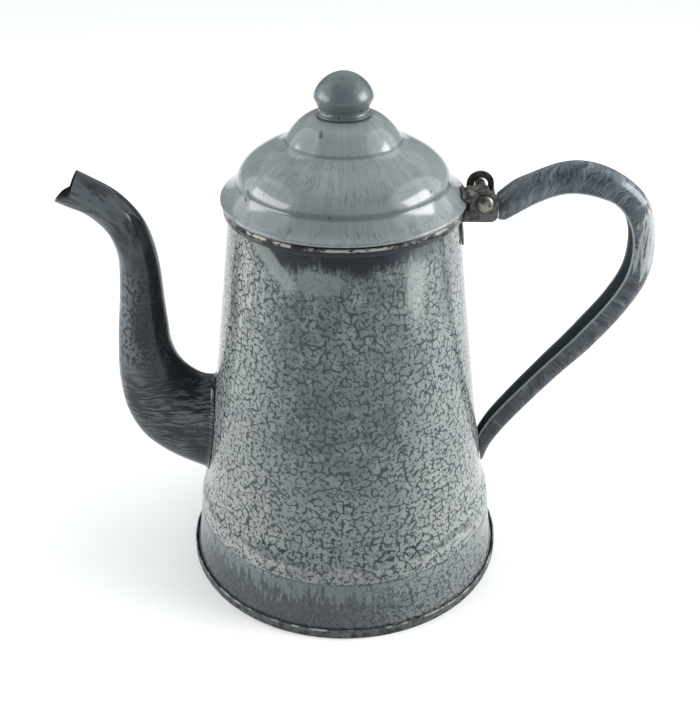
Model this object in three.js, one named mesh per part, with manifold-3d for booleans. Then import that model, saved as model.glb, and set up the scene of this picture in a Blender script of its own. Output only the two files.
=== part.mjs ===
// Enamelled sheet-steel coffee pot: waisted wall, gooseneck spout, strap handle and hinged domed lid.
// Millimetres, +Z up, spout towards -X, handle towards +X. The pot stands on z = 0.

import * as THREE from 'three';
import { mergeVertices } from 'three/addons/utils/BufferGeometryUtils.js';
import Module from 'manifold-3d';

// Sheet and clearances
const sheet = 0.9; // enamelled steel of the wall, bottom, lid, spout and strap
const gap = 0.3; // between pieces that touch
const overrun = 4; // how far a cutter reaches past what it cuts
const roundSegments = 44; // facets round the wall, the bottom and the lid
const smallSegments = 24; // facets round pins, holes and knuckles

// Wall, measured on its outside
const footRadius = 76.2; // outside of the folded foot seam
const footHeight = 4.6;
const creaseRadius = 71.0; // the rolled line between the foot flare and the shoulder
const creaseHeight = 26.8;
const shoulderBulge = 0.5; // how far the flare's top and the shoulder stand out from that line
const wallBaseRadius = 67.3;
const wallBaseHeight = 42.2;
const neckRadius = 49.5;
const mouthHeight = 185.8;
const wallWaist = 0.25; // how far the wall's line is drawn in at half height
const flarePullShares = [0.26, 0.39]; // where the flare turns, from its top's radius and its foot's height
const shoulderPullShare = 0.4;

// Mouth edge, rolled outwards round a wire
const beadRadius = 1.8; // outside radius of the roll
const beadSkirt = 2.7; // how far the roll's free edge hangs below its centre

// Bottom
const floorHeight = 3.0; // underside of the bottom above the table
const seamChamfer = 0.6;

// Spout
const spoutReach = 126.1; // from the pot's axis to the tip of the beak
const spoutRise = 10.2; // of the spout's top over the mouth
const spoutRootWidth = 29;
const beakLength = 11.4; // from the mouth's top corner out to the tip
const beakDepth = 14.1; // from the mouth's top corner down to the tip
const mouthShares = [0.3, 0.67]; // where the mouth's upright edge ends and the beak's bowed edge starts
const beakBow = [0.7, 0.15]; // how that bowed edge is pulled on its way to the tip
const spoutFlangeWidth = 1.6;
const strainerHoleRadius = 2.75;
const strainerPitch = 8;

// Handle
const handleReach = 136.5; // from the pot's axis to the back of the strap
const handleRise = 16.2; // of the strap's highest point over the mouth
const handleFootHeight = 48.5;
const strapDepth = 12.4;
const strapWidth = 14.6;
const strapLipWidth = 12.8; // across the lips, which are turned in a little

// Hinge
const pinOffset = 9.85; // from the wall's neck radius to the pin's axis
const pinRise = 1.3; // of the pin's axis over the mouth
const pinRadius = 2.3;
const earRadius = 6;
const earOuterSpan = 23; // over both ears
const earThickness = 1.2;
const earDrop = 8.3; // from the pin's axis to the ears' flat bottom
const wornHoleRadius = 3.0; // the far ear's hole, worn oversize
const wornHoleShift = 0.35;
const backPlateWidth = 18;
const backPlateHeight = 11.8;
const backPlateThickness = 0.8;
const pinHeadRadius = 3.2;
const pinHeadHeight = 2.2;

// Lid leaf
const leafWidth = 12.6;
const leafThickness = 0.8;
const leafTabLength = 2.8; // of the tab that lies on the lid's flange
const lidOpening = 105; // degrees, where the dome comes near the handle

// Lid: heights over its edge
const lidRadius = 53.1;
const lidEdgeHeight = 0.8;
const flangeCreaseRadius = 45.5;
const flangeCreaseRise = 8.3;
const ledgeOuterRadius = 30.9;
const ledgeOuterRise = 21.5;
const ledgeInnerRadius = 24.5;
const ledgeInnerRise = 25.7;
const seatRadius = 12.4;
const seatRise = 35.6; // the flat under the knob
const flangePullShares = [0.6, 0.36];
const domePullShares = [0.06, 0.57];
const ledgePullShares = [0.58, 0.33];
const crownPullShares = [0.5, 0.95];
const collarDepth = 8.2;
const collarClearance = 0.7;

// Knob: heights over its foot
const knobRadius = 12.45;
const knobHeight = 17.6;
const knobWidestRise = 7.2;
const knobUnderEdgeRadius = 11.6;
const knobUnderEdgeRise = 5.2;
const knobNeckRadius = 10.2;
const knobNeckRise = 2.5;
const knobFootRadius = 11.6;
const knobFootRise = 0.8;
const knobDomeShares = [0.985, 0.43, 0.52]; // how far out and up the dome's side goes, and its flat top
const knobRivetRadius = 1.7;
const knobRivetHeadRadius = 4.2;
const knobRivetHeadHeight = 1.6;
const knobRivetLength = 8.6;
const rivetCrownShare = 0.6;

const wasm = await Module();
wasm.setup();

// Materials
const finish = (color, roughness, metalness) => new THREE.MeshStandardMaterial({ color, roughness, metalness });
const mottledEnamel = finish(0xa3acaf, 0.22, 0);
const paleEnamel = finish(0xa9b2b5, 0.18, 0);
const slateEnamel = finish(0x5b646b, 0.25, 0);
const blackEnamel = finish(0x2b3034, 0.3, 0);
const wornEnamel = finish(0x4a4f52, 0.45, 0.3);
const wornSteel = finish(0x8d8a83, 0.45, 0.9);
const darkSteel = finish(0x5f5a52, 0.5, 0.85);

// Solids and meshes

// The closed solid of a geometry, for joining and cutting.
function solidOf(geometry) {
  const bare = geometry.clone();
  bare.deleteAttribute('normal');
  bare.deleteAttribute('uv');
  const merged = mergeVertices(bare, gap / 1000);
  const vertProperties = merged.attributes.position.array;
  return new wasm.Manifold(new wasm.Mesh({ numProp: 3, vertProperties, triVerts: merged.index.array }));
}

// The geometry of a solid, with flat facets.
function geometryOf(solid) {
  const { vertProperties, triVerts, numProp } = solid.getMesh();
  const geometry = new THREE.BufferGeometry();
  geometry.setAttribute('position', new THREE.BufferAttribute(new Float32Array(vertProperties), numProp));
  geometry.setIndex(new THREE.BufferAttribute(new Uint32Array(triVerts), 1));
  const facets = geometry.toNonIndexed();
  facets.computeVertexNormals();
  return facets;
}

function piece(name, geometry, material) {
  const mesh = new THREE.Mesh(geometry, material);
  mesh.name = name;
  return mesh;
}

const v2 = (x, y) => new THREE.Vector2(x, y);

// The point whose x and y lie at their own shares of the way from one point to another.
function partWay(from, to, [xShare, yShare]) {
  return v2(THREE.MathUtils.lerp(from.x, to.x, xShare), THREE.MathUtils.lerp(from.y, to.y, yShare));
}

// A solid of revolution about Z from a closed (radius, height) profile, up the outside first.
function turned(profile, segments = roundSegments) {
  return new THREE.LatheGeometry([...profile, profile[0].clone()], segments).rotateX(Math.PI / 2);
}

// The same for a profile that starts and ends on the axis.
function turnedFromAxis(profile, segments = roundSegments) {
  return new THREE.LatheGeometry(profile, segments).rotateX(Math.PI / 2);
}

// An XZ outline made a plate across Y, from yLow to yHigh.
function plateAcross(shape, yLow, yHigh, curveSegments) {
  const geometry = new THREE.ExtrudeGeometry(shape, { depth: yHigh - yLow, bevelEnabled: false, curveSegments });
  return geometry.rotateX(Math.PI / 2).translate(0, yHigh, 0);
}

// A round bar across Y.
function barAcross(radius, yLow, yHigh, x, z) {
  const geometry = new THREE.CylinderGeometry(radius, radius, yHigh - yLow, smallSegments);
  return geometry.translate(x, (yLow + yHigh) / 2, z);
}

function boxBetween(low, high) {
  const size = high.clone().sub(low);
  const middle = high.clone().add(low).multiplyScalar(0.5);
  return new THREE.BoxGeometry(size.x, size.y, size.z).translate(middle.x, middle.y, middle.z);
}

// A profile's line moved square to itself: to its left when going along it.
function offsetLine(line, distance) {
  return line.map((point, i) => {
    const before = line[Math.max(i - 1, 0)];
    const after = line[Math.min(i + 1, line.length - 1)];
    const first = point === before ? after.clone().sub(point) : point.clone().sub(before);
    const second = point === after ? first.clone() : after.clone().sub(point);
    first.normalize();
    second.normalize();
    const middle = first.clone().add(second).normalize();
    const stretch = distance / Math.max(middle.dot(first), 0.5);
    return v2(point.x - middle.y * stretch, point.y + middle.x * stretch);
  });
}

// Sheet metal of even thickness under a face line, as a closed profile.
function sheetProfile(faceLine, thickness) {
  return [...faceLine, ...offsetLine(faceLine, thickness).reverse()];
}

// Points of a bent line from one point to another, pulled towards a third, without its first point.
function bend(from, pull, to, steps) {
  return new THREE.QuadraticBezierCurve(from, pull, to).getPoints(steps).slice(1);
}

// Points of an arc about a centre, angles in degrees, without its first point.
function arc(centre, radius, fromDegrees, toDegrees, steps) {
  const points = [];
  for (let i = 1; i <= steps; i++) {
    const angle = THREE.MathUtils.degToRad(THREE.MathUtils.lerp(fromDegrees, toDegrees, i / steps));
    points.push(v2(centre.x + radius * Math.cos(angle), centre.y + radius * Math.sin(angle)));
  }
  return points;
}

// A closed skin over rings of points, with the two end rings capped.
function loft(rings, section) {
  const count = rings[0].length;
  const positions = rings.flat().flatMap((point) => [point.x, point.y, point.z]);
  const index = [];
  for (let r = 0; r + 1 < rings.length; r++) {
    for (let i = 0; i < count; i++) {
      const a = r * count + i;
      const b = r * count + ((i + 1) % count);
      index.push(a, b, b + count, a, b + count, a + count);
    }
  }
  const last = (rings.length - 1) * count;
  for (const [a, b, c] of THREE.ShapeUtils.triangulateShape(section, [])) {
    index.push(c, b, a, last + a, last + b, last + c);
  }
  const geometry = new THREE.BufferGeometry();
  geometry.setAttribute('position', new THREE.Float32BufferAttribute(positions, 3));
  geometry.setIndex(index);
  return geometry;
}

// Wall

const wireRadius = beadRadius - sheet - gap;
const rollInside = beadRadius - sheet;
const beadCentre = v2(neckRadius + rollInside, mouthHeight - beadRadius);
const pinHeight = mouthHeight + pinRise;
const spoutTop = mouthHeight + spoutRise;
const handleTop = mouthHeight + handleRise;
const rimRadius = beadCentre.x + beadRadius;
const footEdgeRadius = footRadius - sheet - gap; // the wall's own edge, inside the fold

// Outside radius of the wall between the shoulder and the neck.
function wallRadius(height) {
  const share = THREE.MathUtils.clamp((height - wallBaseHeight) / (beadCentre.y - wallBaseHeight), 0, 1);
  const straight = THREE.MathUtils.lerp(wallBaseRadius, neckRadius, share);
  return straight - 4 * wallWaist * share * (1 - share);
}

function wallFaceLine() {
  const footEdge = v2(footEdgeRadius, sheet + gap);
  const flareFoot = v2(footEdgeRadius - gap, footHeight);
  const crease = v2(creaseRadius, creaseHeight);
  const flareTop = v2(creaseRadius + shoulderBulge, creaseHeight - shoulderBulge);
  const [flareOut, flareUp] = flarePullShares;
  const flarePull = partWay(flareFoot, flareTop, [1 - flareOut, flareUp]);
  const wallBase = v2(wallBaseRadius, wallBaseHeight);
  const shoulderTurn = THREE.MathUtils.lerp(creaseHeight, wallBaseHeight, shoulderPullShare);
  const shoulderPull = v2(creaseRadius + 2 * shoulderBulge, shoulderTurn);
  const wallSteps = 4;
  const wall = [];
  for (let step = 1; step < wallSteps; step++) {
    const height = THREE.MathUtils.lerp(wallBaseHeight, beadCentre.y, step / wallSteps);
    wall.push(v2(wallRadius(height), height));
  }
  return [
    footEdge,
    flareFoot,
    ...bend(flareFoot, flarePull, flareTop, 4),
    crease,
    ...bend(crease, shoulderPull, wallBase, 4),
    ...wall,
    v2(neckRadius, beadCentre.y),
    ...arc(beadCentre, rollInside, 180, 0, 4),
    v2(beadCentre.x + rollInside, beadCentre.y - beadSkirt),
  ];
}

// The space that the wall and its bead fill, grown by a clearance, for trimming what sits on them.
function wallKeepOut(clearance) {
  const line = wallFaceLine().filter((point) => point.y < beadCentre.y && point.x < footEdgeRadius);
  const skirt = beadCentre.y - beadSkirt;
  const grown = line.filter((point) => point.y < skirt).map((point) => v2(point.x + clearance, point.y));
  const bead = [
    v2(wallRadius(skirt) + clearance, skirt - clearance),
    v2(rimRadius + clearance, skirt - clearance),
    v2(rimRadius + clearance, mouthHeight + clearance),
  ];
  const profile = [v2(0, footHeight), v2(grown[0].x, footHeight), ...grown, ...bead, v2(0, mouthHeight + clearance)];
  return solidOf(turnedFromAxis(profile));
}

// Rows of round holes through the wall behind the spout, each row between the gaps of the last.
function strainerHoles() {
  const rows = [-2, -1, 0, 1, 2];
  const middle = spoutRootMiddle();
  return rows.flatMap((row) => {
    const columns = row % 2 === 0 ? [-1, 0, 1] : [-0.5, 0.5];
    return columns.map((column) => {
      const bar = new THREE.CylinderGeometry(strainerHoleRadius, strainerHoleRadius, wallBaseRadius, 8);
      bar.rotateZ(Math.PI / 2);
      return solidOf(bar.translate(-wallBaseRadius, column * strainerPitch, middle + row * strainerPitch));
    });
  });
}

function potBody() {
  const shell = solidOf(turned(sheetProfile(wallFaceLine(), sheet)));
  return geometryOf(strainerHoles().reduce((solid, hole) => solid.subtract(hole), shell));
}

function mouthWire() {
  return new THREE.TorusGeometry(beadCentre.x, wireRadius, 6, roundSegments).translate(0, 0, beadCentre.y);
}

// Bottom, with its edge folded up round the wall's foot
function bottomPan() {
  const channelOutside = footRadius - sheet;
  const channelInside = footEdgeRadius - sheet - gap;
  const innerFace = channelInside - sheet;
  const profile = [
    v2(0, floorHeight),
    v2(innerFace - seamChamfer, floorHeight),
    v2(innerFace, floorHeight - seamChamfer),
    v2(innerFace, seamChamfer),
    v2(innerFace + seamChamfer, 0),
    v2(footRadius - seamChamfer, 0),
    v2(footRadius, seamChamfer),
    v2(footRadius, footHeight - seamChamfer),
    v2(footRadius - sheet / 2, footHeight),
    v2(channelOutside, footHeight - seamChamfer),
    v2(channelOutside, sheet),
    v2(channelInside, sheet),
    v2(channelInside, floorHeight + sheet),
    v2(0, floorHeight + sheet),
  ];
  return turnedFromAxis(profile);
}

// Spout

// Stations from inside the wall to past the beak: offset from the axis and height of the front line,
// the same of the back line, and the half width. Shares of the reach, the top and the root's width.
const spoutStationShares = [
  [0.469, 0.2, 0.399, 0.49, 0.5],
  [0.568, 0.225, 0.523, 0.478, 0.5],
  [0.685, 0.264, 0.578, 0.498, 0.48],
  [0.774, 0.315, 0.618, 0.531, 0.45],
  [0.826, 0.386, 0.639, 0.573, 0.42],
  [0.843, 0.48, 0.644, 0.622, 0.39],
  [0.831, 0.592, 0.649, 0.684, 0.365],
  [0.804, 0.725, 0.654, 0.765, 0.34],
  [0.799, 0.807, 0.668, 0.829, 0.32],
  [0.826, 0.86, 0.701, 0.889, 0.305],
  [0.89, 0.901, 0.774, 0.947, 0.285],
  [0.959, 0.92, 0.869, 0.986, 0.26],
  [1.028, 0.941, 0.955, 1.015, 0.24],
];
const spoutSides = 18;
const spoutFlangeShare = 0.25; // of the spout's length, which its root flange is cut from

function spoutLines() {
  const front = spoutStationShares.map(([x, z]) => new THREE.Vector3(-x * spoutReach, 0, z * spoutTop));
  const back = spoutStationShares.map(([, , x, z]) => new THREE.Vector3(-x * spoutReach, 0, z * spoutTop));
  const half = spoutStationShares.map(([, , , , y]) => new THREE.Vector3(y * spoutRootWidth, 0, 0));
  return [front, back, half].map((points) => new THREE.CatmullRomCurve3(points, false, 'centripetal'));
}

// Height of the middle of the spout's root, where its strainer is.
function spoutRootMiddle() {
  const [, frontHeight, , backHeight] = spoutStationShares[1];
  return ((frontHeight + backHeight) / 2) * spoutTop;
}

// Oval rings along the spout from its root to a share of its length, drawn in by an inset.
function spoutRings(inset, toShare, steps) {
  const [front, back, half] = spoutLines();
  const rings = [];
  for (let step = 0; step <= steps; step++) {
    const share = (toShare * step) / steps;
    const low = front.getPoint(share);
    const high = back.getPoint(share);
    const middle = low.clone().add(high).multiplyScalar(0.5);
    const reach = high.clone().sub(low).multiplyScalar(0.5);
    const long = reach.length() - inset;
    const across = half.getPoint(share).x - inset;
    reach.normalize();
    const ring = ovalSection().map(({ x, y }) => middle.clone().addScaledVector(reach, long * x).setY(across * y));
    rings.push(ring);
  }
  return rings;
}

function ovalSection() {
  return Array.from({ length: spoutSides }, (_, side) => {
    const angle = (2 * Math.PI * side) / spoutSides;
    return v2(Math.cos(angle), Math.sin(angle));
  });
}

function spoutSkin(inset, toShare, steps) {
  return solidOf(loft(spoutRings(inset, toShare, steps), ovalSection()));
}

// The mouth's edge drops from its top corner and then bows out to the tip of the beak.
function mouthCutter() {
  const corner = v2(beakLength - spoutReach, spoutTop);
  const tip = v2(-spoutReach, spoutTop - beakDepth);
  const notch = partWay(corner, tip, mouthShares);
  const outline = new THREE.Shape();
  outline.moveTo(corner.x, corner.y);
  outline.lineTo(corner.x, corner.y + beakDepth);
  outline.lineTo(tip.x - beakDepth, corner.y + beakDepth);
  outline.lineTo(tip.x - beakDepth, tip.y - beakDepth);
  outline.lineTo(tip.x, tip.y - beakDepth);
  outline.lineTo(tip.x, tip.y);
  for (const point of bend(tip, partWay(notch, tip, beakBow), notch, 5)) {
    outline.lineTo(point.x, point.y);
  }
  outline.closePath();
  return solidOf(plateAcross(outline, -spoutRootWidth, spoutRootWidth, 1));
}

function spout() {
  const steps = 22;
  const outside = spoutSkin(0, 1, steps);
  const inside = spoutSkin(sheet, 1, steps);
  const flange = spoutSkin(-spoutFlangeWidth, spoutFlangeShare, 4).intersect(wallKeepOut(gap + sheet));
  const blank = outside.add(flange).subtract(inside).subtract(wallKeepOut(gap));
  return geometryOf(blank.subtract(mouthCutter()));
}

// Handle

const pinX = neckRadius + pinOffset;
const earRear = pinX + earRadius;

// Stations from the hinge to the foot: the back of the strap as shares of the reach that stands clear of
// the wall and of the height over the foot, the share of its depth, the direction in degrees in which
// that depth is measured, and the share of its width.
const strapStationShares = [
  [0.17, 0.893, 0.56, 270, 1],
  [0.217, 0.919, 0.95, 273, 1],
  [0.267, 0.942, 1, 276, 1],
  [0.352, 0.965, 0.91, 279, 1],
  [0.47, 0.992, 0.93, 276, 1],
  [0.575, 1, 0.98, 269, 1],
  [0.7, 0.986, 0.96, 256, 1],
  [0.826, 0.948, 0.86, 235, 1],
  [0.921, 0.898, 0.9, 216, 0.98],
  [0.981, 0.827, 0.89, 194, 0.96],
  [1, 0.743, 0.86, 180, 0.95],
  [0.981, 0.646, 0.88, 163, 0.94],
  [0.894, 0.548, 0.88, 149, 0.92],
  [0.72, 0.423, 0.89, 142, 0.87],
  [0.515, 0.311, 0.82, 140, 0.78],
  [0.327, 0.206, 0.8, 142, 0.71],
  [0.181, 0.123, 0.77, 147, 0.66],
  [0.074, 0.052, 0.65, 160, 0.64],
  [0.023, 0, 0.48, 172, 0.62],
];
const strapArchSteps = 6;

// A station's place: the reach is measured from the wall at the same height.
function strapStation([reachShare, heightShare, depthShare, degrees, widthShare]) {
  const height = THREE.MathUtils.lerp(handleFootHeight, handleTop, heightShare);
  const x = THREE.MathUtils.lerp(wallRadius(height) + gap, handleReach, reachShare);
  return { place: new THREE.Vector3(x, 0, height), lean: new THREE.Vector3(depthShare, degrees, widthShare) };
}

// The channel's outline as (deep, across), the outside first and then back along the inside.
function channelSection(depth, widthShare) {
  const line = (inset) => {
    const half = (strapWidth / 2) * widthShare - inset;
    const lip = (strapLipWidth / 2) * widthShare - inset;
    const crown = Math.min(half, depth - inset - gap);
    const points = [v2(depth, lip)];
    for (let step = 0; step <= strapArchSteps; step++) {
      const angle = (Math.PI * step) / strapArchSteps;
      points.push(v2(inset + crown * (1 - Math.sin(angle)), half * Math.cos(angle)));
    }
    points.push(v2(depth, -lip));
    return points;
  };
  return [...line(0), ...line(sheet).reverse()];
}

function handleStrap() {
  const stations = strapStationShares.map(strapStation);
  const path = new THREE.CatmullRomCurve3(
    stations.map(({ place }) => place),
    false,
    'centripetal'
  );
  const leans = new THREE.CatmullRomCurve3(
    stations.map(({ lean }) => lean),
    false,
    'catmullrom'
  );
  const steps = 34;
  const rings = [];
  for (let step = 0; step <= steps; step++) {
    const back = path.getPoint(step / steps);
    const { x: depthShare, y: degrees, z: widthShare } = leans.getPoint(step / steps);
    const direction = THREE.MathUtils.degToRad(degrees);
    const inwards = new THREE.Vector3(Math.cos(direction), 0, Math.sin(direction));
    const ring = channelSection(depthShare * strapDepth, widthShare).map(({ x: deep, y: across }) =>
      back.clone().addScaledVector(inwards, deep).setY(across)
    );
    rings.push(ring);
  }
  const strap = solidOf(loft(rings, channelSection(strapDepth, 1)));
  const bracketSide = boxBetween(
    new THREE.Vector3(0, -strapWidth, pinHeight - earDrop - strapDepth),
    new THREE.Vector3(earRear + gap, strapWidth, handleTop)
  );
  return geometryOf(strap.subtract(solidOf(bracketSide)).subtract(wallKeepOut(gap)));
}

// Hinge

const earInner = earOuterSpan / 2 - earThickness;
const bracketBottom = pinHeight - earDrop;

// One ear: a round top over the pin and a flat bottom that runs back to the wall.
function earPlate(yLow, yHigh, holeRadius, holeX) {
  const outline = new THREE.Shape();
  outline.moveTo(neckRadius - overrun, bracketBottom);
  outline.lineTo(earRear, bracketBottom);
  outline.lineTo(earRear, pinHeight);
  outline.absarc(pinX, pinHeight, earRadius, 0, Math.PI, false);
  outline.lineTo(pinX - earRadius, mouthHeight - beadRadius);
  outline.lineTo(neckRadius - overrun, mouthHeight - beadRadius);
  outline.closePath();
  const plate = solidOf(plateAcross(outline, yLow, yHigh, 8));
  return plate.subtract(solidOf(barAcross(holeRadius, yLow - overrun, yHigh + overrun, holeX, pinHeight)));
}

function hingeBracket() {
  const sector = solidOf(
    boxBetween(
      new THREE.Vector3(0, -backPlateWidth / 2, bracketBottom - backPlateHeight),
      new THREE.Vector3(pinX, backPlateWidth / 2, beadCentre.y - beadSkirt - gap)
    )
  );
  const backPlate = wallKeepOut(gap + backPlateThickness).intersect(sector);
  const nearEar = earPlate(-earOuterSpan / 2, -earInner, pinRadius + gap, pinX);
  const farEar = earPlate(earInner, earOuterSpan / 2, wornHoleRadius, pinX + wornHoleShift);
  const rearWeb = boxBetween(
    new THREE.Vector3(earRear - earThickness, -earOuterSpan / 2, bracketBottom),
    new THREE.Vector3(earRear, earOuterSpan / 2, pinHeight - earThickness)
  );
  const floor = boxBetween(
    new THREE.Vector3(neckRadius - overrun, -earOuterSpan / 2, bracketBottom),
    new THREE.Vector3(earRear, earOuterSpan / 2, bracketBottom + earThickness)
  );
  const joined = [nearEar, farEar, solidOf(rearWeb), solidOf(floor)].reduce((a, b) => a.add(b), backPlate);
  return geometryOf(joined.subtract(wallKeepOut(gap)));
}

// The pin lies along Y: a domed head outside the near ear, and a plain end past the far one.
function hingePin() {
  const headFace = -earOuterSpan / 2 - gap;
  const farEnd = earOuterSpan / 2 + 2 * gap;
  const domeSteps = 4;
  const dome = [];
  for (let step = 0; step <= domeSteps; step++) {
    const angle = (Math.PI / 2) * (step / domeSteps);
    dome.push(v2(pinHeadRadius * Math.sin(angle), headFace - pinHeadHeight * Math.cos(angle)));
  }
  const profile = [
    ...dome,
    v2(pinRadius, headFace),
    v2(pinRadius, farEnd - gap),
    v2(pinRadius - gap, farEnd),
    v2(0, farEnd),
  ];
  return new THREE.LatheGeometry(profile, smallSegments).translate(pinX, 0, pinHeight);
}

// Lid

const lidEdge = mouthHeight + gap;
const lidSeat = lidEdge + seatRise;

// The dome's outside from the edge up to the knob's seat: flared flange, dome, ledge and crown.
function lidFaceLine() {
  const edge = v2(lidRadius, lidEdge + lidEdgeHeight);
  const flangeCrease = v2(flangeCreaseRadius, lidEdge + flangeCreaseRise);
  const ledgeOuter = v2(ledgeOuterRadius, lidEdge + ledgeOuterRise);
  const ledgeInner = v2(ledgeInnerRadius, lidEdge + ledgeInnerRise);
  const seatEdge = v2(seatRadius, lidSeat);
  return [
    v2(lidRadius, lidEdge),
    edge,
    ...bend(edge, partWay(edge, flangeCrease, flangePullShares), flangeCrease, 3),
    ...bend(flangeCrease, partWay(flangeCrease, ledgeOuter, domePullShares), ledgeOuter, 4),
    ...bend(ledgeOuter, partWay(ledgeOuter, ledgeInner, ledgePullShares), ledgeInner, 2),
    ...bend(ledgeInner, partWay(ledgeInner, seatEdge, crownPullShares), seatEdge, 4),
    v2(knobRivetRadius + gap, lidSeat),
  ];
}

function lidShell() {
  return turned(sheetProfile(lidFaceLine(), sheet));
}

// The lid's outside grown by a clearance, as a solid, for trimming what lies on it.
function lidKeepOut(clearance) {
  const line = offsetLine(lidFaceLine(), -clearance);
  const low = v2(line[0].x, lidEdge - overrun);
  return solidOf(turnedFromAxis([v2(0, lidEdge - overrun), low, ...line.slice(1), v2(0, lidSeat + clearance)]));
}

function lidInsideHeight(radius) {
  const line = offsetLine(lidFaceLine(), sheet);
  const above = line.findIndex((point) => point.x < radius);
  const [low, high] = [line[above - 1], line[above]];
  return THREE.MathUtils.mapLinear(radius, low.x, high.x, low.y, high.y);
}

// A short skirt under the flange that drops into the mouth.
function lidCollar() {
  const outside = neckRadius - sheet - collarClearance;
  const inside = outside - sheet;
  const profile = [
    v2(outside, lidEdge - collarDepth),
    v2(outside, lidInsideHeight(outside) - gap),
    v2(inside, lidInsideHeight(inside) - gap),
    v2(inside, lidEdge - collarDepth),
  ];
  return turned(profile);
}

// The leaf: a knuckle rolled round the pin, a short web, and a tab that lies on the lid's flange.
function lidLeaf() {
  const nearEdge = gap - earInner;
  const farEdge = nearEdge + leafWidth;
  const bore = pinRadius + gap;
  const rolled = bore + leafThickness;
  const knuckle = solidOf(barAcross(rolled, nearEdge, farEdge, pinX, pinHeight));
  const boreBar = solidOf(barAcross(bore, nearEdge - overrun, farEdge + overrun, pinX, pinHeight));
  const web = new THREE.Shape();
  web.moveTo(pinX, pinHeight + bore);
  web.lineTo(pinX, pinHeight + rolled);
  web.lineTo(lidRadius, pinHeight + rolled - leafThickness);
  web.lineTo(lidRadius - leafTabLength, lidEdge + lidEdgeHeight);
  web.lineTo(lidRadius, lidEdge + lidEdgeHeight);
  web.closePath();
  const tabBox = boxBetween(
    new THREE.Vector3(lidRadius - leafTabLength, nearEdge, lidEdge + lidEdgeHeight),
    new THREE.Vector3(lidRadius + leafThickness, farEdge, lidSeat)
  );
  const tab = lidKeepOut(gap + leafThickness).intersect(solidOf(tabBox));
  const leaf = knuckle.add(solidOf(plateAcross(web, nearEdge, farEdge, 1))).add(tab);
  return geometryOf(leaf.subtract(boreBar).subtract(lidKeepOut(gap)));
}

// Knob

const knobSeat = lidSeat + gap;

function knob() {
  const bore = knobRivetRadius + gap;
  const boreTop = knobSeat + knobRivetLength + gap;
  const top = knobSeat + knobHeight;
  const foot = v2(knobFootRadius, knobSeat + knobFootRise);
  const neck = v2(knobNeckRadius, knobSeat + knobNeckRise);
  const underEdge = v2(knobUnderEdgeRadius, knobSeat + knobUnderEdgeRise);
  const widest = v2(knobRadius, knobSeat + knobWidestRise);
  const [sideOut, sideUp, topOut] = knobDomeShares;
  const sidePull = v2(knobRadius * sideOut, THREE.MathUtils.lerp(widest.y, top, sideUp));
  const dome = new THREE.CubicBezierCurve(widest, sidePull, v2(knobRadius * topOut, top), v2(0, top));
  const profile = [
    v2(0, boreTop),
    v2(bore, boreTop),
    v2(bore, knobSeat),
    v2(knobFootRadius - gap, knobSeat),
    foot,
    ...bend(foot, v2(knobNeckRadius, foot.y), neck, 2),
    underEdge,
    widest,
    ...dome.getPoints(8).slice(1),
  ];
  return turnedFromAxis(profile, 28);
}

// The rivet that holds the knob: head inside the lid, shank up into the knob.
function knobRivet() {
  const underLid = lidSeat - sheet - gap;
  const top = knobSeat + knobRivetLength;
  const profile = [
    v2(0, underLid - knobRivetHeadHeight),
    v2(knobRivetHeadRadius * rivetCrownShare, underLid - knobRivetHeadHeight),
    v2(knobRivetHeadRadius, underLid - gap),
    v2(knobRivetHeadRadius, underLid),
    v2(knobRivetRadius, underLid),
    v2(knobRivetRadius, top),
    v2(0, top),
  ];
  return turnedFromAxis(profile, 16);
}

// Assembly, in groups as it comes apart: the pot, the hinge's fixed half, and the lid
const pot = new THREE.Group();
const vessel = new THREE.Group();
vessel.add(
  piece('pot_body', potBody(), mottledEnamel),
  piece('mouth_wire', mouthWire(), wornSteel),
  piece('bottom_pan', bottomPan(), wornEnamel),
  piece('spout', spout(), slateEnamel),
  piece('handle_strap', handleStrap(), slateEnamel)
);
const hinge = new THREE.Group();
hinge.add(
  piece('hinge_bracket', hingeBracket(), blackEnamel),
  piece('hinge_pin', hingePin(), darkSteel)
);
const lid = new THREE.Group();
lid.userData.opensDegrees = lidOpening;
lid.add(
  piece('lid_shell', lidShell(), paleEnamel),
  piece('lid_collar', lidCollar(), paleEnamel),
  piece('lid_leaf', lidLeaf(), wornSteel),
  piece('knob', knob(), slateEnamel),
  piece('knob_rivet', knobRivet(), darkSteel)
);
pot.add(vessel, hinge, lid);

// The origin goes to the middle of the whole outline, on the table.
const outline = new THREE.Box3().setFromObject(pot);
pot.position.x = -(outline.min.x + outline.max.x) / 2;

export default pot;
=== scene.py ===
"""Looks of the enamel coffee pot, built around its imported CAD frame.

Shapes are given in millimetres from the pot's own axis and the table it stands on. They turn into
metres of the row frame when a mesh is made.
"""

from __future__ import annotations

import logging
import math
from dataclasses import dataclass, field
from enum import Enum
from typing import Callable, Sequence

import bmesh
import bpy
import numpy as np
from mathutils import Matrix, Vector


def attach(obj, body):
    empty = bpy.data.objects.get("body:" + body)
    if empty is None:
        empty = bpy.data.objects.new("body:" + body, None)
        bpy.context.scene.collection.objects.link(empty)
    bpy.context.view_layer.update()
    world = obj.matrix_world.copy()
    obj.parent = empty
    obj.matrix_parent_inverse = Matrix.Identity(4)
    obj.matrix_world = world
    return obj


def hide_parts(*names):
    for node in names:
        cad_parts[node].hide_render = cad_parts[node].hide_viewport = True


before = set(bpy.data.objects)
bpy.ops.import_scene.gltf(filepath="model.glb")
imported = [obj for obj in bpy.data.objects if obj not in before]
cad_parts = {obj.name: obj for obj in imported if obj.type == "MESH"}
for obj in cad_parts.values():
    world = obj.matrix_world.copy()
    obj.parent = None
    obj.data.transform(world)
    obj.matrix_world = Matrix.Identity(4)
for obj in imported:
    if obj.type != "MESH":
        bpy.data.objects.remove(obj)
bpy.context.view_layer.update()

LOG = logging.getLogger("coffee_pot")
MM = 0.001
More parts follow.
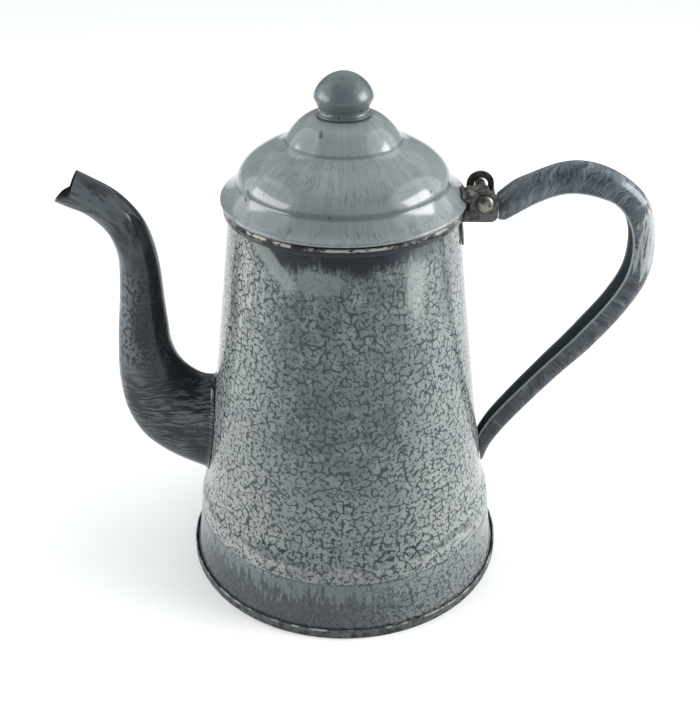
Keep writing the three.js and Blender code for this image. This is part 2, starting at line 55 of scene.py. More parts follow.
AXIS_X = -5.4355  # the pot's axis in the row frame
SHEET = 0.9  # enamelled steel
GAP = 0.3  # between pieces that touch
OVERRUN = 4.0  # how far a cutter or a joined block reaches past the face that it meets
MERGE = 1e-6  # metres, within which two points are one
PHOTO_HEIGHT = 716  # pixels, of a frame 700 wide

Tree = bpy.types.NodeTree
Socket = bpy.types.NodeSocket


class Body(Enum):
    """The bodies that pieces ride on."""

    POT = "pot"
    LID = "lid"


class Slot(Enum):
    """The record's material slots."""

    MOTTLED = "mottled_enamel"
    PALE = "pale_enamel"
    SLATE = "slate_enamel"
    BLACK = "black_enamel"
    WORN_ENAMEL = "worn_enamel"
    WORN_STEEL = "worn_steel"
    DARK_STEEL = "dark_steel"


class Cut(Enum):
    """Ways of putting two solids together."""

    JOIN = "UNION"
    TAKE = "DIFFERENCE"
    SHARE = "INTERSECT"


# ---------------------------------------------------------------- lines


def part_way(start: Sequence[float], end: Sequence[float], shares: Sequence[float]) -> np.ndarray:
    """Finds the point whose two coordinates lie at their own shares of the way.

    Args:
        start: Where the way begins.
        end: Where it ends.
        shares: The share for each coordinate.

    Returns:
        The point.
    """
    start, end = np.asarray(start, float), np.asarray(end, float)
    return start + (end - start) * np.asarray(shares, float)


def bend(start: Sequence[float], pull: Sequence[float], end: Sequence[float], steps: int = 16) -> list:
    """Bends a line from start to end, pulled towards a third point, without its first point.

    Args:
        start: Where the line begins.
        pull: The point it is pulled towards.
        end: Where it ends.
        steps: How many points it gets.

    Returns:
        The points.
    """
    start, pull, end = (np.asarray(p, float) for p in (start, pull, end))
    shares = np.linspace(0, 1, steps + 1)[1:, None]
    return list((1 - shares) ** 2 * start + 2 * shares * (1 - shares) * pull + shares**2 * end)


def arc(centre: Sequence[float], radius: float, start: float, end: float, steps: int = 12) -> list:
    """Makes points of an arc, angles in degrees, with both ends.

    Args:
        centre: The arc's centre.
        radius: Its radius.
        start: The first angle.
        end: The last angle.
        steps: How many parts it has.

    Returns:
        The points.
    """
    angles = np.radians(np.linspace(start, end, steps + 1))
    return [np.array([centre[0] + radius * math.cos(a), centre[1] + radius * math.sin(a)]) for a in angles]


def spaced(line: Sequence, step: float) -> np.ndarray:
    """Spreads points evenly along a line.

    Args:
        line: The line's points.
        step: About how far apart they come to lie.

    Returns:
        The evenly spaced points.
    """
    line = np.asarray(line, float)
    lengths = np.concatenate([[0], np.cumsum(np.linalg.norm(np.diff(line, axis=0), axis=1))])
    count = max(2, int(round(lengths[-1] / step)) + 1)
    places = np.linspace(0, lengths[-1], count)
    return np.stack([np.interp(places, lengths, line[:, i]) for i in range(line.shape[1])], axis=1)


def eased(line: Sequence, step: float, softness: float) -> np.ndarray:
    """Rounds a line's corners as pressing rounds sheet metal, and keeps its ends.

    Args:
        line: The line's points.
        step: How far apart the new points lie.
        softness: About the radius that a corner gets.

    Returns:
        The softened line.
    """
    points = spaced(line, step)
    reach = max(1, int(round(2.5 * softness / step)))
    weights = np.exp(-0.5 * (np.arange(-reach, reach + 1) * step / softness) ** 2)
    weights /= weights.sum()
    head = 2 * points[0] - points[1 : reach + 1][::-1]
    tail = 2 * points[-1] - points[-reach - 1 : -1][::-1]
    padded = np.concatenate([head, points, tail])
    return np.stack([np.convolve(padded[:, i], weights, "valid") for i in range(points.shape[1])], axis=1)


def offset(line: np.ndarray, distance: float) -> np.ndarray:
    """Moves a plane line square to itself, to its left when going along it.

    Args:
        line: The line's points.
        distance: How far it moves.

    Returns:
        The moved line.
    """
    slope = np.gradient(line, axis=0)
    slope /= np.linalg.norm(slope, axis=1)[:, None]
    return line + distance * np.stack([-slope[:, 1], slope[:, 0]], axis=1)


def sheet_profile(face: np.ndarray, thickness: float) -> np.ndarray:
    """Gives a face line the thickness of sheet metal, with rounded edges.

    Args:
        face: The outside, from its low edge on.
        thickness: The sheet's thickness, laid to the left of the line.

    Returns:
        The closed outline, its last point the same as its first.
    """
    half = thickness / 2
    back = offset(face, thickness)
    edges = []
    last, first = (face[-1], back[-1], face[-1] - face[-2]), (back[0], face[0], face[0] - face[1])
    for here, there, along in (last, first):
        along = along / np.linalg.norm(along)
        middle, side = (here + there) / 2, (here - there) / 2
        turns = np.radians([30, 60, 90, 120, 150])
        edges.append([middle + side * math.cos(t) + along * half * math.sin(t) for t in turns])
    trimmed = [face[1:-1], back[1:-1]]
    ends = [[face[-1]], edges[0], [back[-1]]], [[back[0]], edges[1], [face[0]]]
    parts = [[face[0]], trimmed[0], *ends[0], trimmed[1][::-1], *ends[1]]
    return np.concatenate([np.asarray(part, float).reshape(-1, 2) for part in parts])


def smooth_path(points: Sequence, shares: np.ndarray) -> np.ndarray:
    """Reads places on a centripetal Catmull-Rom curve through points.

    Args:
        points: What the curve goes through, in any number of dimensions.
        shares: Where to read it, from 0 at the first point to 1 at the last.

    Returns:
        One place for each share.
    """
    points = np.asarray(points, float)
    full = np.concatenate([[2 * points[0] - points[1]], points, [2 * points[-1] - points[-2]]])
    found = []
    for share in np.clip(np.asarray(shares, float), 0, 1):
        along = share * (len(points) - 1)
        i = min(int(along), len(points) - 2)
        p0, p1, p2, p3 = full[i : i + 4]
        gaps = [np.linalg.norm(b - a) ** 0.5 for a, b in ((p1, p2), (p0, p1), (p2, p3))]
        middle = gaps[0] if gaps[0] > 1e-4 else 1.0
        before, after = (gap if gap > 1e-4 else middle for gap in gaps[1:])
        t0, t1, t2, t3 = np.cumsum([0, before, middle, after])
        t = t1 + (along - i) * (t2 - t1)
        a1 = (t1 - t) / (t1 - t0) * p0 + (t - t0) / (t1 - t0) * p1
        a2 = (t2 - t) / (t2 - t1) * p1 + (t - t1) / (t2 - t1) * p2
        a3 = (t3 - t) / (t3 - t2) * p2 + (t - t2) / (t3 - t2) * p3
        b1 = (t2 - t) / (t2 - t0) * a1 + (t - t0) / (t2 - t0) * a2
        b2 = (t3 - t) / (t3 - t1) * a2 + (t - t1) / (t3 - t1) * a3
        found.append((t2 - t) / (t2 - t1) * b1 + (t - t1) / (t2 - t1) * b2)
    return np.array(found)


# ---------------------------------------------------------------- meshes


def add(tree: Tree, kind: str, links: dict | None = None, out: int | str = 0, **settings: object) -> Socket:
    """Adds a node with its settings and what goes into its sockets.

    Args:
        tree: The tree it goes into.
        kind: The node's type.
        links: A socket, number, colour or vector for each input, by name or number.
        out: Which of its outputs is wanted.
        **settings: The node's own options.

    Returns:
        That output, or the node itself where it has none.
    """
    node = tree.nodes.new(kind)
    for name, value in settings.items():
        setattr(node, name, value)
    for socket, value in (links or {}).items():
        if isinstance(value, Socket):
            tree.links.new(value, node.inputs[socket])
        else:
            node.inputs[socket].default_value = value
    return node.outputs[out] if len(node.outputs) else node


def new_tree(name: str, inputs: dict[str, str]) -> tuple[Tree, dict[str, Socket]]:
    """Starts a geometry tree with named inputs and one geometry output.

    Args:
        name: The tree's name.
        inputs: Each input's name and socket type.

    Returns:
        The tree, and its inputs' sockets by name.
    """
    tree = bpy.data.node_groups.new(name, "GeometryNodeTree")
    for label, kind in inputs.items():
        tree.interface.new_socket(label, in_out="INPUT", socket_type=kind)
    tree.interface.new_socket("Piece", in_out="OUTPUT", socket_type="NodeSocketGeometry")
    given = tree.nodes.new("NodeGroupInput")
    return tree, {label: given.outputs[label] for label in inputs}


def close_tree(tree: Tree, shape: Socket, finish: Socket) -> None:
    """Ends a geometry tree in real geometry with its finish.

    Args:
        tree: The tree.
        shape: The geometry that it made.
        finish: The material socket.
    """
    real = add(tree, "GeometryNodeRealizeInstances", {"Geometry": shape})
    dressed = add(tree, "GeometryNodeSetMaterial", {"Geometry": real, "Material": finish})
    end = tree.nodes.new("NodeGroupOutput")
    tree.links.new(dressed, end.inputs[0])


def lathe_tree() -> Tree:
    """Builds the tree that turns a profile of points once about Z.

    Returns:
        The tree.
    """
    kinds = {"Profile": "NodeSocketGeometry", "Segments": "NodeSocketInt", "Finish": "NodeSocketMaterial"}
    tree, given = new_tree("turned_profile", kinds)
    count = add(tree, "GeometryNodeAttributeDomainSize", {"Geometry": given["Profile"]}, "Point Count")
    columns = add(tree, "FunctionNodeIntegerMath", {0: given["Segments"], 1: 1}, operation="ADD")
    grid = add(tree, "GeometryNodeMeshGrid", {"Vertices X": columns, "Vertices Y": count}, "Mesh")
    index = add(tree, "GeometryNodeInputIndex")
    step = add(tree, "FunctionNodeIntegerMath", {0: index, 1: count}, operation="MODULO")
    turn = add(tree, "FunctionNodeIntegerMath", {0: index, 1: count}, operation="DIVIDE_FLOOR")
    share = add(tree, "ShaderNodeMath", {0: turn, 1: given["Segments"]}, operation="DIVIDE")
    angle = add(tree, "ShaderNodeMath", {0: share, 1: math.tau}, operation="MULTIPLY")
    place = add(tree, "GeometryNodeInputPosition")
    point = {"Geometry": given["Profile"], "Value": place, "Index": step}
    from_profile = add(tree, "GeometryNodeSampleIndex", point, data_type="FLOAT_VECTOR", domain="POINT")
    turning = {"Vector": from_profile, "Angle": angle}
    turned = add(tree, "ShaderNodeVectorRotate", turning, rotation_type="Z_AXIS")
    spun = add(tree, "GeometryNodeSetPosition", {"Geometry": grid, "Position": turned})
    sewn = add(tree, "GeometryNodeMergeByDistance", {"Geometry": spun, "Distance": MERGE})
    close_tree(tree, sewn, given["Finish"])
    return tree


def strainer_tree() -> Tree:
    """Builds the tree that cuts staggered rows of round holes through the wall behind the spout.

    Returns:
        The tree.
    """
    kinds = {
        "Wall": "NodeSocketGeometry",
        "Place": "NodeSocketVector",
        "Pitch": "NodeSocketFloat",
        "Radius": "NodeSocketFloat",
        "Reach": "NodeSocketFloat",
        "Finish": "NodeSocketMaterial",
    }
    tree, given = new_tree("strainer_holes", kinds)
    columns, rows = 3, 5
    grid = add(tree, "GeometryNodeMeshGrid", {"Vertices X": columns, "Vertices Y": rows}, "Mesh")
    index = add(tree, "GeometryNodeInputIndex")
    row = add(tree, "FunctionNodeIntegerMath", {0: index, 1: rows}, operation="MODULO")
    column = add(tree, "FunctionNodeIntegerMath", {0: index, 1: rows}, operation="DIVIDE_FLOOR")
    odd = add(tree, "FunctionNodeIntegerMath", {0: row, 1: 2}, operation="MODULO")
    shifted = add(tree, "ShaderNodeMath", {0: odd, 1: 0.5, 2: column}, operation="MULTIPLY_ADD")
    across = add(tree, "ShaderNodeMath", {0: shifted, 1: (columns - 1) / 2}, operation="SUBTRACT")
    up = add(tree, "ShaderNodeMath", {0: row, 1: (rows - 1) / 2}, operation="SUBTRACT")
    spot = add(tree, "ShaderNodeCombineXYZ", {"Y": across, "Z": up})
    scaled = add(tree, "ShaderNodeVectorMath", {0: spot, "Scale": given["Pitch"]}, operation="SCALE")
    placed = add(tree, "ShaderNodeVectorMath", {0: scaled, 1: given["Place"]}, operation="ADD")
    points = add(tree, "GeometryNodeSetPosition", {"Geometry": grid, "Position": placed})
    last = add(tree, "FunctionNodeIntegerMath", {0: column, 1: odd}, operation="MULTIPLY")
    spare = add(tree, "FunctionNodeCompare", {2: last, 3: columns - 1}, data_type="INT", operation="EQUAL")
    kept = add(tree, "GeometryNodeDeleteGeometry", {"Geometry": points, "Selection": spare})
    drill_sizes = {"Vertices": 32, "Radius": given["Radius"], "Depth": given["Reach"]}
    drill = add(tree, "GeometryNodeMeshCylinder", drill_sizes, "Mesh")
    aimed = {"Points": kept, "Instance": drill, "Rotation": (0.0, math.pi / 2, 0.0)}
    drills = add(tree, "GeometryNodeInstanceOnPoints", aimed)
    solid = add(tree, "GeometryNodeRealizeInstances", {"Geometry": drills})
    cut = {"Mesh 1": given["Wall"], "Mesh 2": solid}
    holed = add(tree, "GeometryNodeMeshBoolean", cut, "Mesh", operation="DIFFERENCE", solver="EXACT")
    close_tree(tree, holed, given["Finish"])
    return tree


def made_by(tree: Tree, obj: bpy.types.Object, inputs: dict) -> bpy.types.Object:
    """Runs a geometry tree on an object and keeps the result as its plain mesh.

    Args:
        tree: The tree.
        obj: The object whose mesh goes in.
        inputs: A value for each named input.

    Returns:
        The object.
    """
    change = obj.modifiers.new(tree.name, "NODES")
    change.node_group = tree
    for item in tree.interface.items_tree:
        if item.in_out == "INPUT" and item.name in inputs:
            change[item.identifier] = inputs[item.name]
    return applied(obj)


def applied(obj: bpy.types.Object) -> bpy.types.Object:
    """Turns an object's modifiers into its plain mesh.

    Args:
        obj: The object.

    Returns:
        The object.
    """
    bpy.context.view_layer.update()
    seen = obj.evaluated_get(bpy.context.evaluated_depsgraph_get())
    mesh = bpy.data.meshes.new_from_object(seen)
    obj.modifiers.clear()
    obj.data = mesh
    mesh.name = obj.name
    return obj


def new_object(name: str, points: np.ndarray, faces: Sequence = (), edges: Sequence = ()) -> bpy.types.Object:
    """Makes a mesh object at the origin from points in millimetres about the pot's axis.

    Args:
        name: The piece's name.
        points: One row of x, y and z for each point.
        faces: Point numbers of each face.
        edges: Point numbers of each loose edge.

    Returns:
        The object.
    """
    mesh = bpy.data.meshes.new(name)
    mesh.from_pydata([tuple(p) for p in np.asarray(points, float) * MM], list(edges), list(faces))
    obj = bpy.data.objects.new(name, mesh)
    bpy.context.scene.collection.objects.link(obj)
    return obj


def lathe(name: str, profile: np.ndarray, segments: int, finish: bpy.types.Material) -> bpy.types.Object:
    """Turns a profile about the pot's axis.

    Args:
        name: The piece's name.
        profile: Radius and height of each point, closed or from the axis back to it.
        segments: How many facets go round.
        finish: Its material.

    Returns:
        The object, with normals outwards.
    """
    points = np.stack([profile[:, 0], np.zeros(len(profile)), profile[:, 1]], axis=1)
    obj = new_object(name, points, edges=[(i, i + 1) for i in range(len(profile) - 1)])
    made_by(LATHE, obj, {"Segments": segments, "Finish": finish})
    return outwards(obj)


def outwards(obj: bpy.types.Object) -> bpy.types.Object:
    """Merges doubled points of a closed shell and turns its faces outwards.

    Args:
        obj: The object.

    Returns:
        The object.
    """
    shell = bmesh.new()
    shell.from_mesh(obj.data)
    bmesh.ops.remove_doubles(shell, verts=shell.verts, dist=MERGE)
    bmesh.ops.dissolve_degenerate(shell, edges=shell.edges, dist=MERGE / 10)
    bmesh.ops.recalc_face_normals(shell, faces=shell.faces)
    shell.to_mesh(obj.data)
    shell.free()
    return obj


def ring_skin(name: str, rings: np.ndarray, closed: bool, notes: dict[str, np.ndarray]) -> bpy.types.Object:
    """Skins rings of points.

    Args:
        name: The piece's name.
        rings: Points as (ring, place round it, xyz).
        closed: True if the last ring joins the first one. Else both end rings are capped.
        notes: Numbers or vectors for each point, kept as attributes for the materials.

    Returns:
        The object.
    """
    count, sides = rings.shape[:2]
    faces = []
    for ring in range(count if closed else count - 1):
        low, high = ring * sides, (ring + 1) % count * sides
        for i in range(sides):
            j = (i + 1) % sides
            faces.append((low + i, low + j, high + j, high + i))
    if not closed:
        faces.append(tuple(range(sides))[::-1])
        faces.append(tuple(range((count - 1) * sides, count * sides)))
    obj = new_object(name, rings.reshape(-1, 3), faces)
    for label, values in notes.items():
        kind, channel = ("FLOAT_VECTOR", "vector") if values.ndim == 3 else ("FLOAT", "value")
        layer = obj.data.attributes.new(label, kind, "POINT")
        layer.data.foreach_set(channel, values.reshape(-1).astype(np.float32))
    return obj


def plate(outline: Sequence, low: float, high: float) -> bpy.types.Object:
    """Makes an outline in XZ a plate across Y.

    Args:
        outline: The x and z of its corners.
        low: Where it starts in Y.
        high: Where it ends.

    Returns:
        The object.
    """
    outline = np.asarray(outline, float)
    count = len(outline)
    near = [(x, low, z) for x, z in outline]
    far = [(x, high, z) for x, z in outline]
    sides = [(i, (i + 1) % count, (i + 1) % count + count, i + count) for i in range(count)]
    faces = [tuple(range(count))[::-1], tuple(range(count, 2 * count)), *sides]
    return outwards(new_object("plate", np.array(near + far), faces))


def block(low: Sequence[float], high: Sequence[float]) -> bpy.types.Object:
    """Makes a box between two corners.

    Args:
        low: Its lowest corner.
        high: Its highest corner.

    Returns:
        The object.
    """
    corners = [(low[0], low[2]), (high[0], low[2]), (high[0], high[2]), (low[0], high[2])]
    return plate(corners, low[1], high[1])


def bar(radius: float, low: float, high: float, centre: Sequence[float], sides: int = 56) -> bpy.types.Object:
    """Makes a round bar across Y.

    Args:
        radius: Its radius.
        low: Where it starts in Y.
        high: Where it ends.
        centre: Its x and z.
        sides: How many facets it has.

    Returns:
        The object.
    """
    return plate(arc(centre, radius, 0, 360, sides)[:-1], low, high)


def combine(obj: bpy.types.Object, how: Cut, *others: bpy.types.Object) -> bpy.types.Object:
    """Joins solids to one, takes them from it, or keeps what it shares with them.

    Args:
        obj: The solid that stays.
        how: What is done.
        *others: The other solids, which are used up.

    Returns:
        The solid.
    """
    for other in others:
        change = obj.modifiers.new("combine", "BOOLEAN")
        change.operation = how.value
        change.solver = "EXACT"
        change.object = other
        applied(obj)
        bpy.data.objects.remove(other)
    return obj


def named(obj: bpy.types.Object, name: str) -> bpy.types.Object:
    """Gives a piece and its mesh their name.

    Args:
        obj: The piece.
        name: The name.

    Returns:
        The piece.
    """
    obj.name = name
    obj.data.name = name
    return obj


def softened(obj: bpy.types.Object, width: float, segments: int = 3) -> bpy.types.Object:
    """Rounds the edges of a solid.

    Args:
        obj: The solid.
        width: How wide the rounding is.
        segments: How many facets it has.

    Returns:
        The solid.
    """
    one_flat, sharp = math.radians(0.5), math.radians(30)
    shell = bmesh.new()
    shell.from_mesh(obj.data)
    bmesh.ops.remove_doubles(shell, verts=shell.verts, dist=2 * MERGE)
    bmesh.ops.dissolve_limit(shell, angle_limit=one_flat, verts=shell.verts, edges=shell.edges)
    shell.to_mesh(obj.data)
    shell.free()
    change = obj.modifiers.new("rounding", "BEVEL")
    change.width = width * MM
    change.segments = segments
    change.limit_method = "ANGLE"
    change.angle_limit = sharp
    return applied(obj)


def settle(
    obj: bpy.types.Object,
    body: Body,
    finish: bpy.types.Material,
    nodes: Sequence[str] = (),
    crease: float = 40,
) -> bpy.types.Object:
    """Moves a finished mesh from the pot's axis to its place, shades it and hands it to the frame.

    Args:
        obj: The piece.
        body: What it rides on.
        finish: Its material.
        nodes: The CAD nodes that it stands for.
        crease: The angle in degrees from which an edge shows as sharp.

    Returns:
        The piece.
    """
    mesh = obj.data
    mesh.transform(Matrix.Translation((AXIS_X * MM, 0, 0)))
    mesh.materials.clear()
    mesh.materials.append(finish)
    mesh.polygons.foreach_set("material_index", [0] * len(mesh.polygons))
    mesh.shade_smooth()
    mesh.set_sharp_from_angle(angle=math.radians(crease))
    mesh.update()
    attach(obj, body.value)
    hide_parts(*nodes)
    triangles = sum(len(face.vertices) - 2 for face in mesh.polygons)
    LOG.info("%s rides on %s, %d triangles", obj.name, body.value, triangles)
    return obj


LATHE = lathe_tree()
STRAINER = strainer_tree()


# ---------------------------------------------------------------- finishes


def linear(code: str) -> tuple[float, float, float, float]:
    """Turns an sRGB hex colour to linear light.

    Args:
        code: The colour, such as "8d979b".

    Returns:
        Red, green, blue and a full alpha.
    """
    parts = [int(code[i : i + 2], 16) / 255 for i in (0, 2, 4)]
    light = [c / 12.92 if c <= 0.04045 else ((c + 0.055) / 1.055) ** 2.4 for c in parts]
    return (*light, 1.0)


MATH = "ShaderNodeMath"
VECTOR = "ShaderNodeVectorMath"
RANGE = "ShaderNodeMapRange"
NOISE = "ShaderNodeTexNoise"
MIX = "ShaderNodeMix"
SMOOTH = {"interpolation_type": "SMOOTHSTEP"}


def millimetres(tree: Tree) -> Socket:
    """Reads the place on the piece in millimetres about the pot's axis."""
    place = add(tree, "ShaderNodeTexCoord", out="Object")
    return add(tree, VECTOR, {0: place, 1: (1 / MM,) * 3, 2: (-AXIS_X, 0, 0)}, operation="MULTIPLY_ADD")


def painted(tree: Tree, ground: Socket | str, layers: Sequence[tuple[Socket, Socket | str]]) -> Socket:
    """Lays colours over a ground, each through its own mask.

    Args:
        tree: The material's tree.
        ground: The colour under them all.
        layers: Masks and the hex colour or socket that shows through each.

    Returns:
        The finished colour.
    """
    colour = linear(ground) if isinstance(ground, str) else ground
    for mask, over in layers:
        over = linear(over) if isinstance(over, str) else over
        colour = add(tree, MIX, {0: mask, 6: colour, 7: over}, 2, data_type="RGBA")
    return colour


def clouds(
    tree: Tree,
    where: Socket,
    size: float,
    low: float,
    high: float,
    stretch: Sequence[float] = (1, 1, 1),
    detail: float = 3,
    shift: float = 0,
) -> Socket:
    """Makes soft clouds, from 0 to 1.

    Args:
        tree: The material's tree.
        where: The place in millimetres.
        size: About how far apart the clouds lie, in millimetres.
        low: The noise level at which a cloud starts.
        high: The level at which it is full.
        stretch: How much longer the clouds are along each axis.
        detail: How many finer noises are in them.
        shift: Moves the pattern, so that two clouds differ.

    Returns:
        The mask.
    """
    scale = tuple(1 / (size * s) for s in stretch)
    there = add(tree, VECTOR, {0: where, 1: scale, 2: (shift, -shift, shift)}, operation="MULTIPLY_ADD")
    noise = add(tree, NOISE, {"Vector": there, "Scale": 1.0, "Detail": detail, "Roughness": 0.55})
    return add(tree, RANGE, {0: noise, 1: low, 2: high}, **SMOOTH)


def belt(tree: Tree, value: Socket, centre: float, half: float, soft: float) -> Socket:
    """Marks where a value lies near a centre, from 0 outside to 1 inside.

    Args:
        tree: The material's tree.
        value: The value that is looked at.
        centre: The middle of the belt.
        half: Half its full width.
        soft: How far it fades beyond that.

    Returns:
        The mask.
    """
    past = add(tree, MATH, {0: value, 1: centre}, operation="SUBTRACT")
    away = add(tree, MATH, {0: past}, operation="ABSOLUTE")
    return add(tree, RANGE, {0: away, 1: half + soft, 2: half}, **SMOOTH)


def shared(tree: Tree, first: Socket, *others: Socket | float) -> Socket:
    """Keeps what several masks share, at the product of their strengths.

    Args:
        tree: The material's tree.
        first: The first mask.
        *others: More masks, or plain strengths.

    Returns:
        The mask.
    """
    for other in others:
        first = add(tree, MATH, {0: first, 1: other}, operation="MULTIPLY")
    return first


def worm_lines(
    tree: Tree,
    where: Socket,
    flat: Socket,
    cell: float,
    width: float,
    broken: tuple[float, float],
    shift: float = 0,
) -> Socket:
    """Makes the short dark crooked lines that the mottling salts leave in the enamel.

    Args:
        tree: The material's tree.
        where: The place in millimetres, for what bends and breaks the lines.
        flat: The place on the unrolled sheet in millimetres, for the lines themselves.
        cell: The size of the pale islands between the lines.
        width: The width of a line.
        broken: Noise levels between which a line fades out and comes back.
        shift: Moves the pattern, so that two sets differ.

    Returns:
        The mask.
    """
    moved = add(tree, VECTOR, {0: where, 1: (1, 1, 1), 2: (shift, shift, -shift)}, operation="MULTIPLY_ADD")
    warp = add(tree, NOISE, {"Vector": moved, "Scale": 0.85 / cell, "Detail": 1.0}, "Color")
    there = add(tree, VECTOR, {0: warp, 1: (cell * 1.25,) * 3, 2: flat}, operation="MULTIPLY_ADD")
    cells = {"Vector": there, "Scale": 1 / cell, "Randomness": 0.9}
    texture = {"feature": "DISTANCE_TO_EDGE", "voronoi_dimensions": "2D"}
    edge = add(tree, "ShaderNodeTexVoronoi", cells, "Distance", **texture)
    half = width / cell / 2
    gaps = add(tree, NOISE, {"Vector": moved, "Scale": 1.7 / cell, "Detail": 1.0})
    gain = add(tree, RANGE, {0: gaps, 1: broken[0], 2: broken[1], 3: -0.7, 4: 1.0})
    beyond = add(tree, MATH, {0: gain, 1: -half, 2: edge}, operation="MULTIPLY_ADD")
    return add(tree, RANGE, {0: beyond, 1: half * 0.4, 2: -half * 0.4}, **SMOOTH)


def unrolled(tree: Tree, where: Socket, radius: float) -> Socket:
    """Lays the wall's sheet flat, as it lay before it was rolled up, with its joint behind the handle.

    Args:
        tree: The material's tree.
        where: The place in millimetres about the pot's axis.
        radius: The radius at which the sheet's lengths are true.

    Returns:
        The place on the flat sheet.
    """
    node = tree.nodes.new("ShaderNodeSeparateXYZ")
    tree.links.new(where, node.inputs[0])
    back = add(tree, MATH, {0: node.outputs["X"], 1: -1.0}, operation="MULTIPLY")
    angle = add(tree, MATH, {0: node.outputs["Y"], 1: back}, operation="ARCTAN2")
    across = add(tree, MATH, {0: angle, 1: radius}, operation="MULTIPLY")
    return add(tree, "ShaderNodeCombineXYZ", {"X": across, "Y": node.outputs["Z"]})


@dataclass(frozen=True)
class Patch:
    """A place on a piece where the finish differs.

    Sizes are in millimetres about the pot's axis. ragged is how far its outline wanders, as a share
    of its size, grain is the size of that wandering and tall how much longer it is upwards. A patch
    with an end is a streak from its centre to there.
    """

    centre: tuple[float, float, float]
    reach: tuple[float, float, float]
    colour: str
    strength: float = 1.0
    ragged: float = 0.35
    grain: float = 5.0
    soft: float = 0.25
    tall: float = 1.0
    end: tuple[float, float, float] | None = None

    def mask(self, tree: Tree, where: Socket) -> Socket:
        """Draws the patch.

        Args:
            tree: The material's tree.
            where: The place in millimetres.

        Returns:
            Its mask, from 0 outside to its strength inside.
        """
        grid = tuple(1 / r for r in self.reach)
        back = tuple(-c / r for c, r in zip(self.centre, self.reach))
        near = add(tree, VECTOR, {0: where, 1: grid, 2: back}, operation="MULTIPLY_ADD")
        if self.end:
            way = tuple((e - c) / r for e, c, r in zip(self.end, self.centre, self.reach))
            along = add(tree, VECTOR, {0: near, 1: way}, "Value", operation="DOT_PRODUCT")
            share = add(tree, RANGE, {0: along, 2: sum(w * w for w in way)})
            passed = add(tree, VECTOR, {0: way, "Scale": share}, operation="SCALE")
            near = add(tree, VECTOR, {0: near, 1: passed}, operation="SUBTRACT")
        far = add(tree, VECTOR, {0: near}, "Value", operation="LENGTH")
        drawn = add(tree, VECTOR, {0: where, 1: (1, 1, 1 / self.tall)}, operation="MULTIPLY")
        noise = add(tree, NOISE, {"Vector": drawn, "Scale": 1 / self.grain, "Detail": 3.0})
        out = add(tree, MATH, {0: noise, 1: -2 * self.ragged, 2: far}, operation="MULTIPLY_ADD")
        edge = 1 - self.ragged
        span = {0: out, 1: edge + self.soft / 2, 2: edge - self.soft / 2, 3: 0.0, 4: self.strength}
        return add(tree, RANGE, span, **SMOOTH)


@dataclass(frozen=True)
class Finish:
    """What every finish has: a name and how it takes the light."""

    name: str

    def start(self) -> tuple[bpy.types.Material, Tree]:
        """Starts the material with an empty tree.

        Returns:
            The material and its tree.
        """
        material = bpy.data.materials.new(self.name)
        material.use_nodes = True
        material.node_tree.nodes.clear()
        return material, material.node_tree

    def close(self, tree: Tree, sockets: dict[str, object], relief: Socket, depth: float) -> None:
        """Ends the material in its shader.

        Args:
            tree: The material's tree.
            sockets: What goes into the shader.
            relief: The height pattern of its surface.
            depth: How high that pattern stands, in millimetres.
        """
        bump = add(tree, "ShaderNodeBump", {"Strength": 1.0, "Distance": depth * MM, "Height": relief})
        shader = add(tree, "ShaderNodeBsdfPrincipled", {**sockets, "Normal": bump})
        add(tree, "ShaderNodeOutputMaterial", {"Surface": shader})


@dataclass(frozen=True)
class Enamel(Finish):
    """Vitreous enamel on pressed steel: glass fused to the sheet, so glossy, hard and slightly uneven.

    ground and shade are the two tones that the glaze drifts between, lines is the mottling, with cell
    and width the size of its islands and its lines in millimetres. mirror is how strongly the surface
    reflects, and waves and wave_width how high and how wide its slight waves are, in millimetres.
    """

    ground: str = "8d979b"
    shade: str = "7b868c"
    lines: str = "4d585f"
    cell: float = 4.2
    width: float = 0.8
    roughness: float = 0.14
    mirror: float = 0.5
    waves: float = 0.05
    wave_width: float = 9.0
    patches: tuple[Patch, ...] = ()

    def drift(self, tree: Tree, where: Socket) -> Socket:
        """Mixes the glaze's two tones in slow clouds."""
        return painted(tree, self.ground, [(clouds(tree, where, 26, 0.38, 0.66), self.shade)])

    def ripple(self, tree: Tree, where: Socket) -> Socket:
        """Makes the slight waves of glass that ran before it set."""
        return add(tree, NOISE, {"Vector": where, "Scale": 1 / self.wave_width, "Detail": 2.0})

    def dressed(self, tree: Tree, where: Socket, layers: Sequence[tuple[Socket, Socket | str]]) -> None:
        """Lays colours and the patches over the glaze and ends the material.

        Args:
            tree: The material's tree.
            where: The place in millimetres.
            layers: Masks and their colours, patches among them.
        """
        colour = painted(tree, self.drift(tree, where), layers)
        sockets = {"Base Color": colour, "Roughness": self.roughness, "Specular IOR Level": self.mirror}
        self.close(tree, sockets, self.ripple(tree, where), self.waves)

    def spots(self, tree: Tree, where: Socket) -> list[tuple[Socket, str]]:
        """Draws the patches, as masks and their colours."""
        return [(patch.mask(tree, where), patch.colour) for patch in self.patches]

    def build(self) -> bpy.types.Material:
        """Builds the plain enamel with a few specks.

        Returns:
            The material.
        """
        material, tree = self.start()
        where = millimetres(tree)
        specks = clouds(tree, where, 2.3, 0.68, 0.73, detail=1)
        self.dressed(tree, where, [(specks, self.lines), *self.spots(tree, where)])
        return material


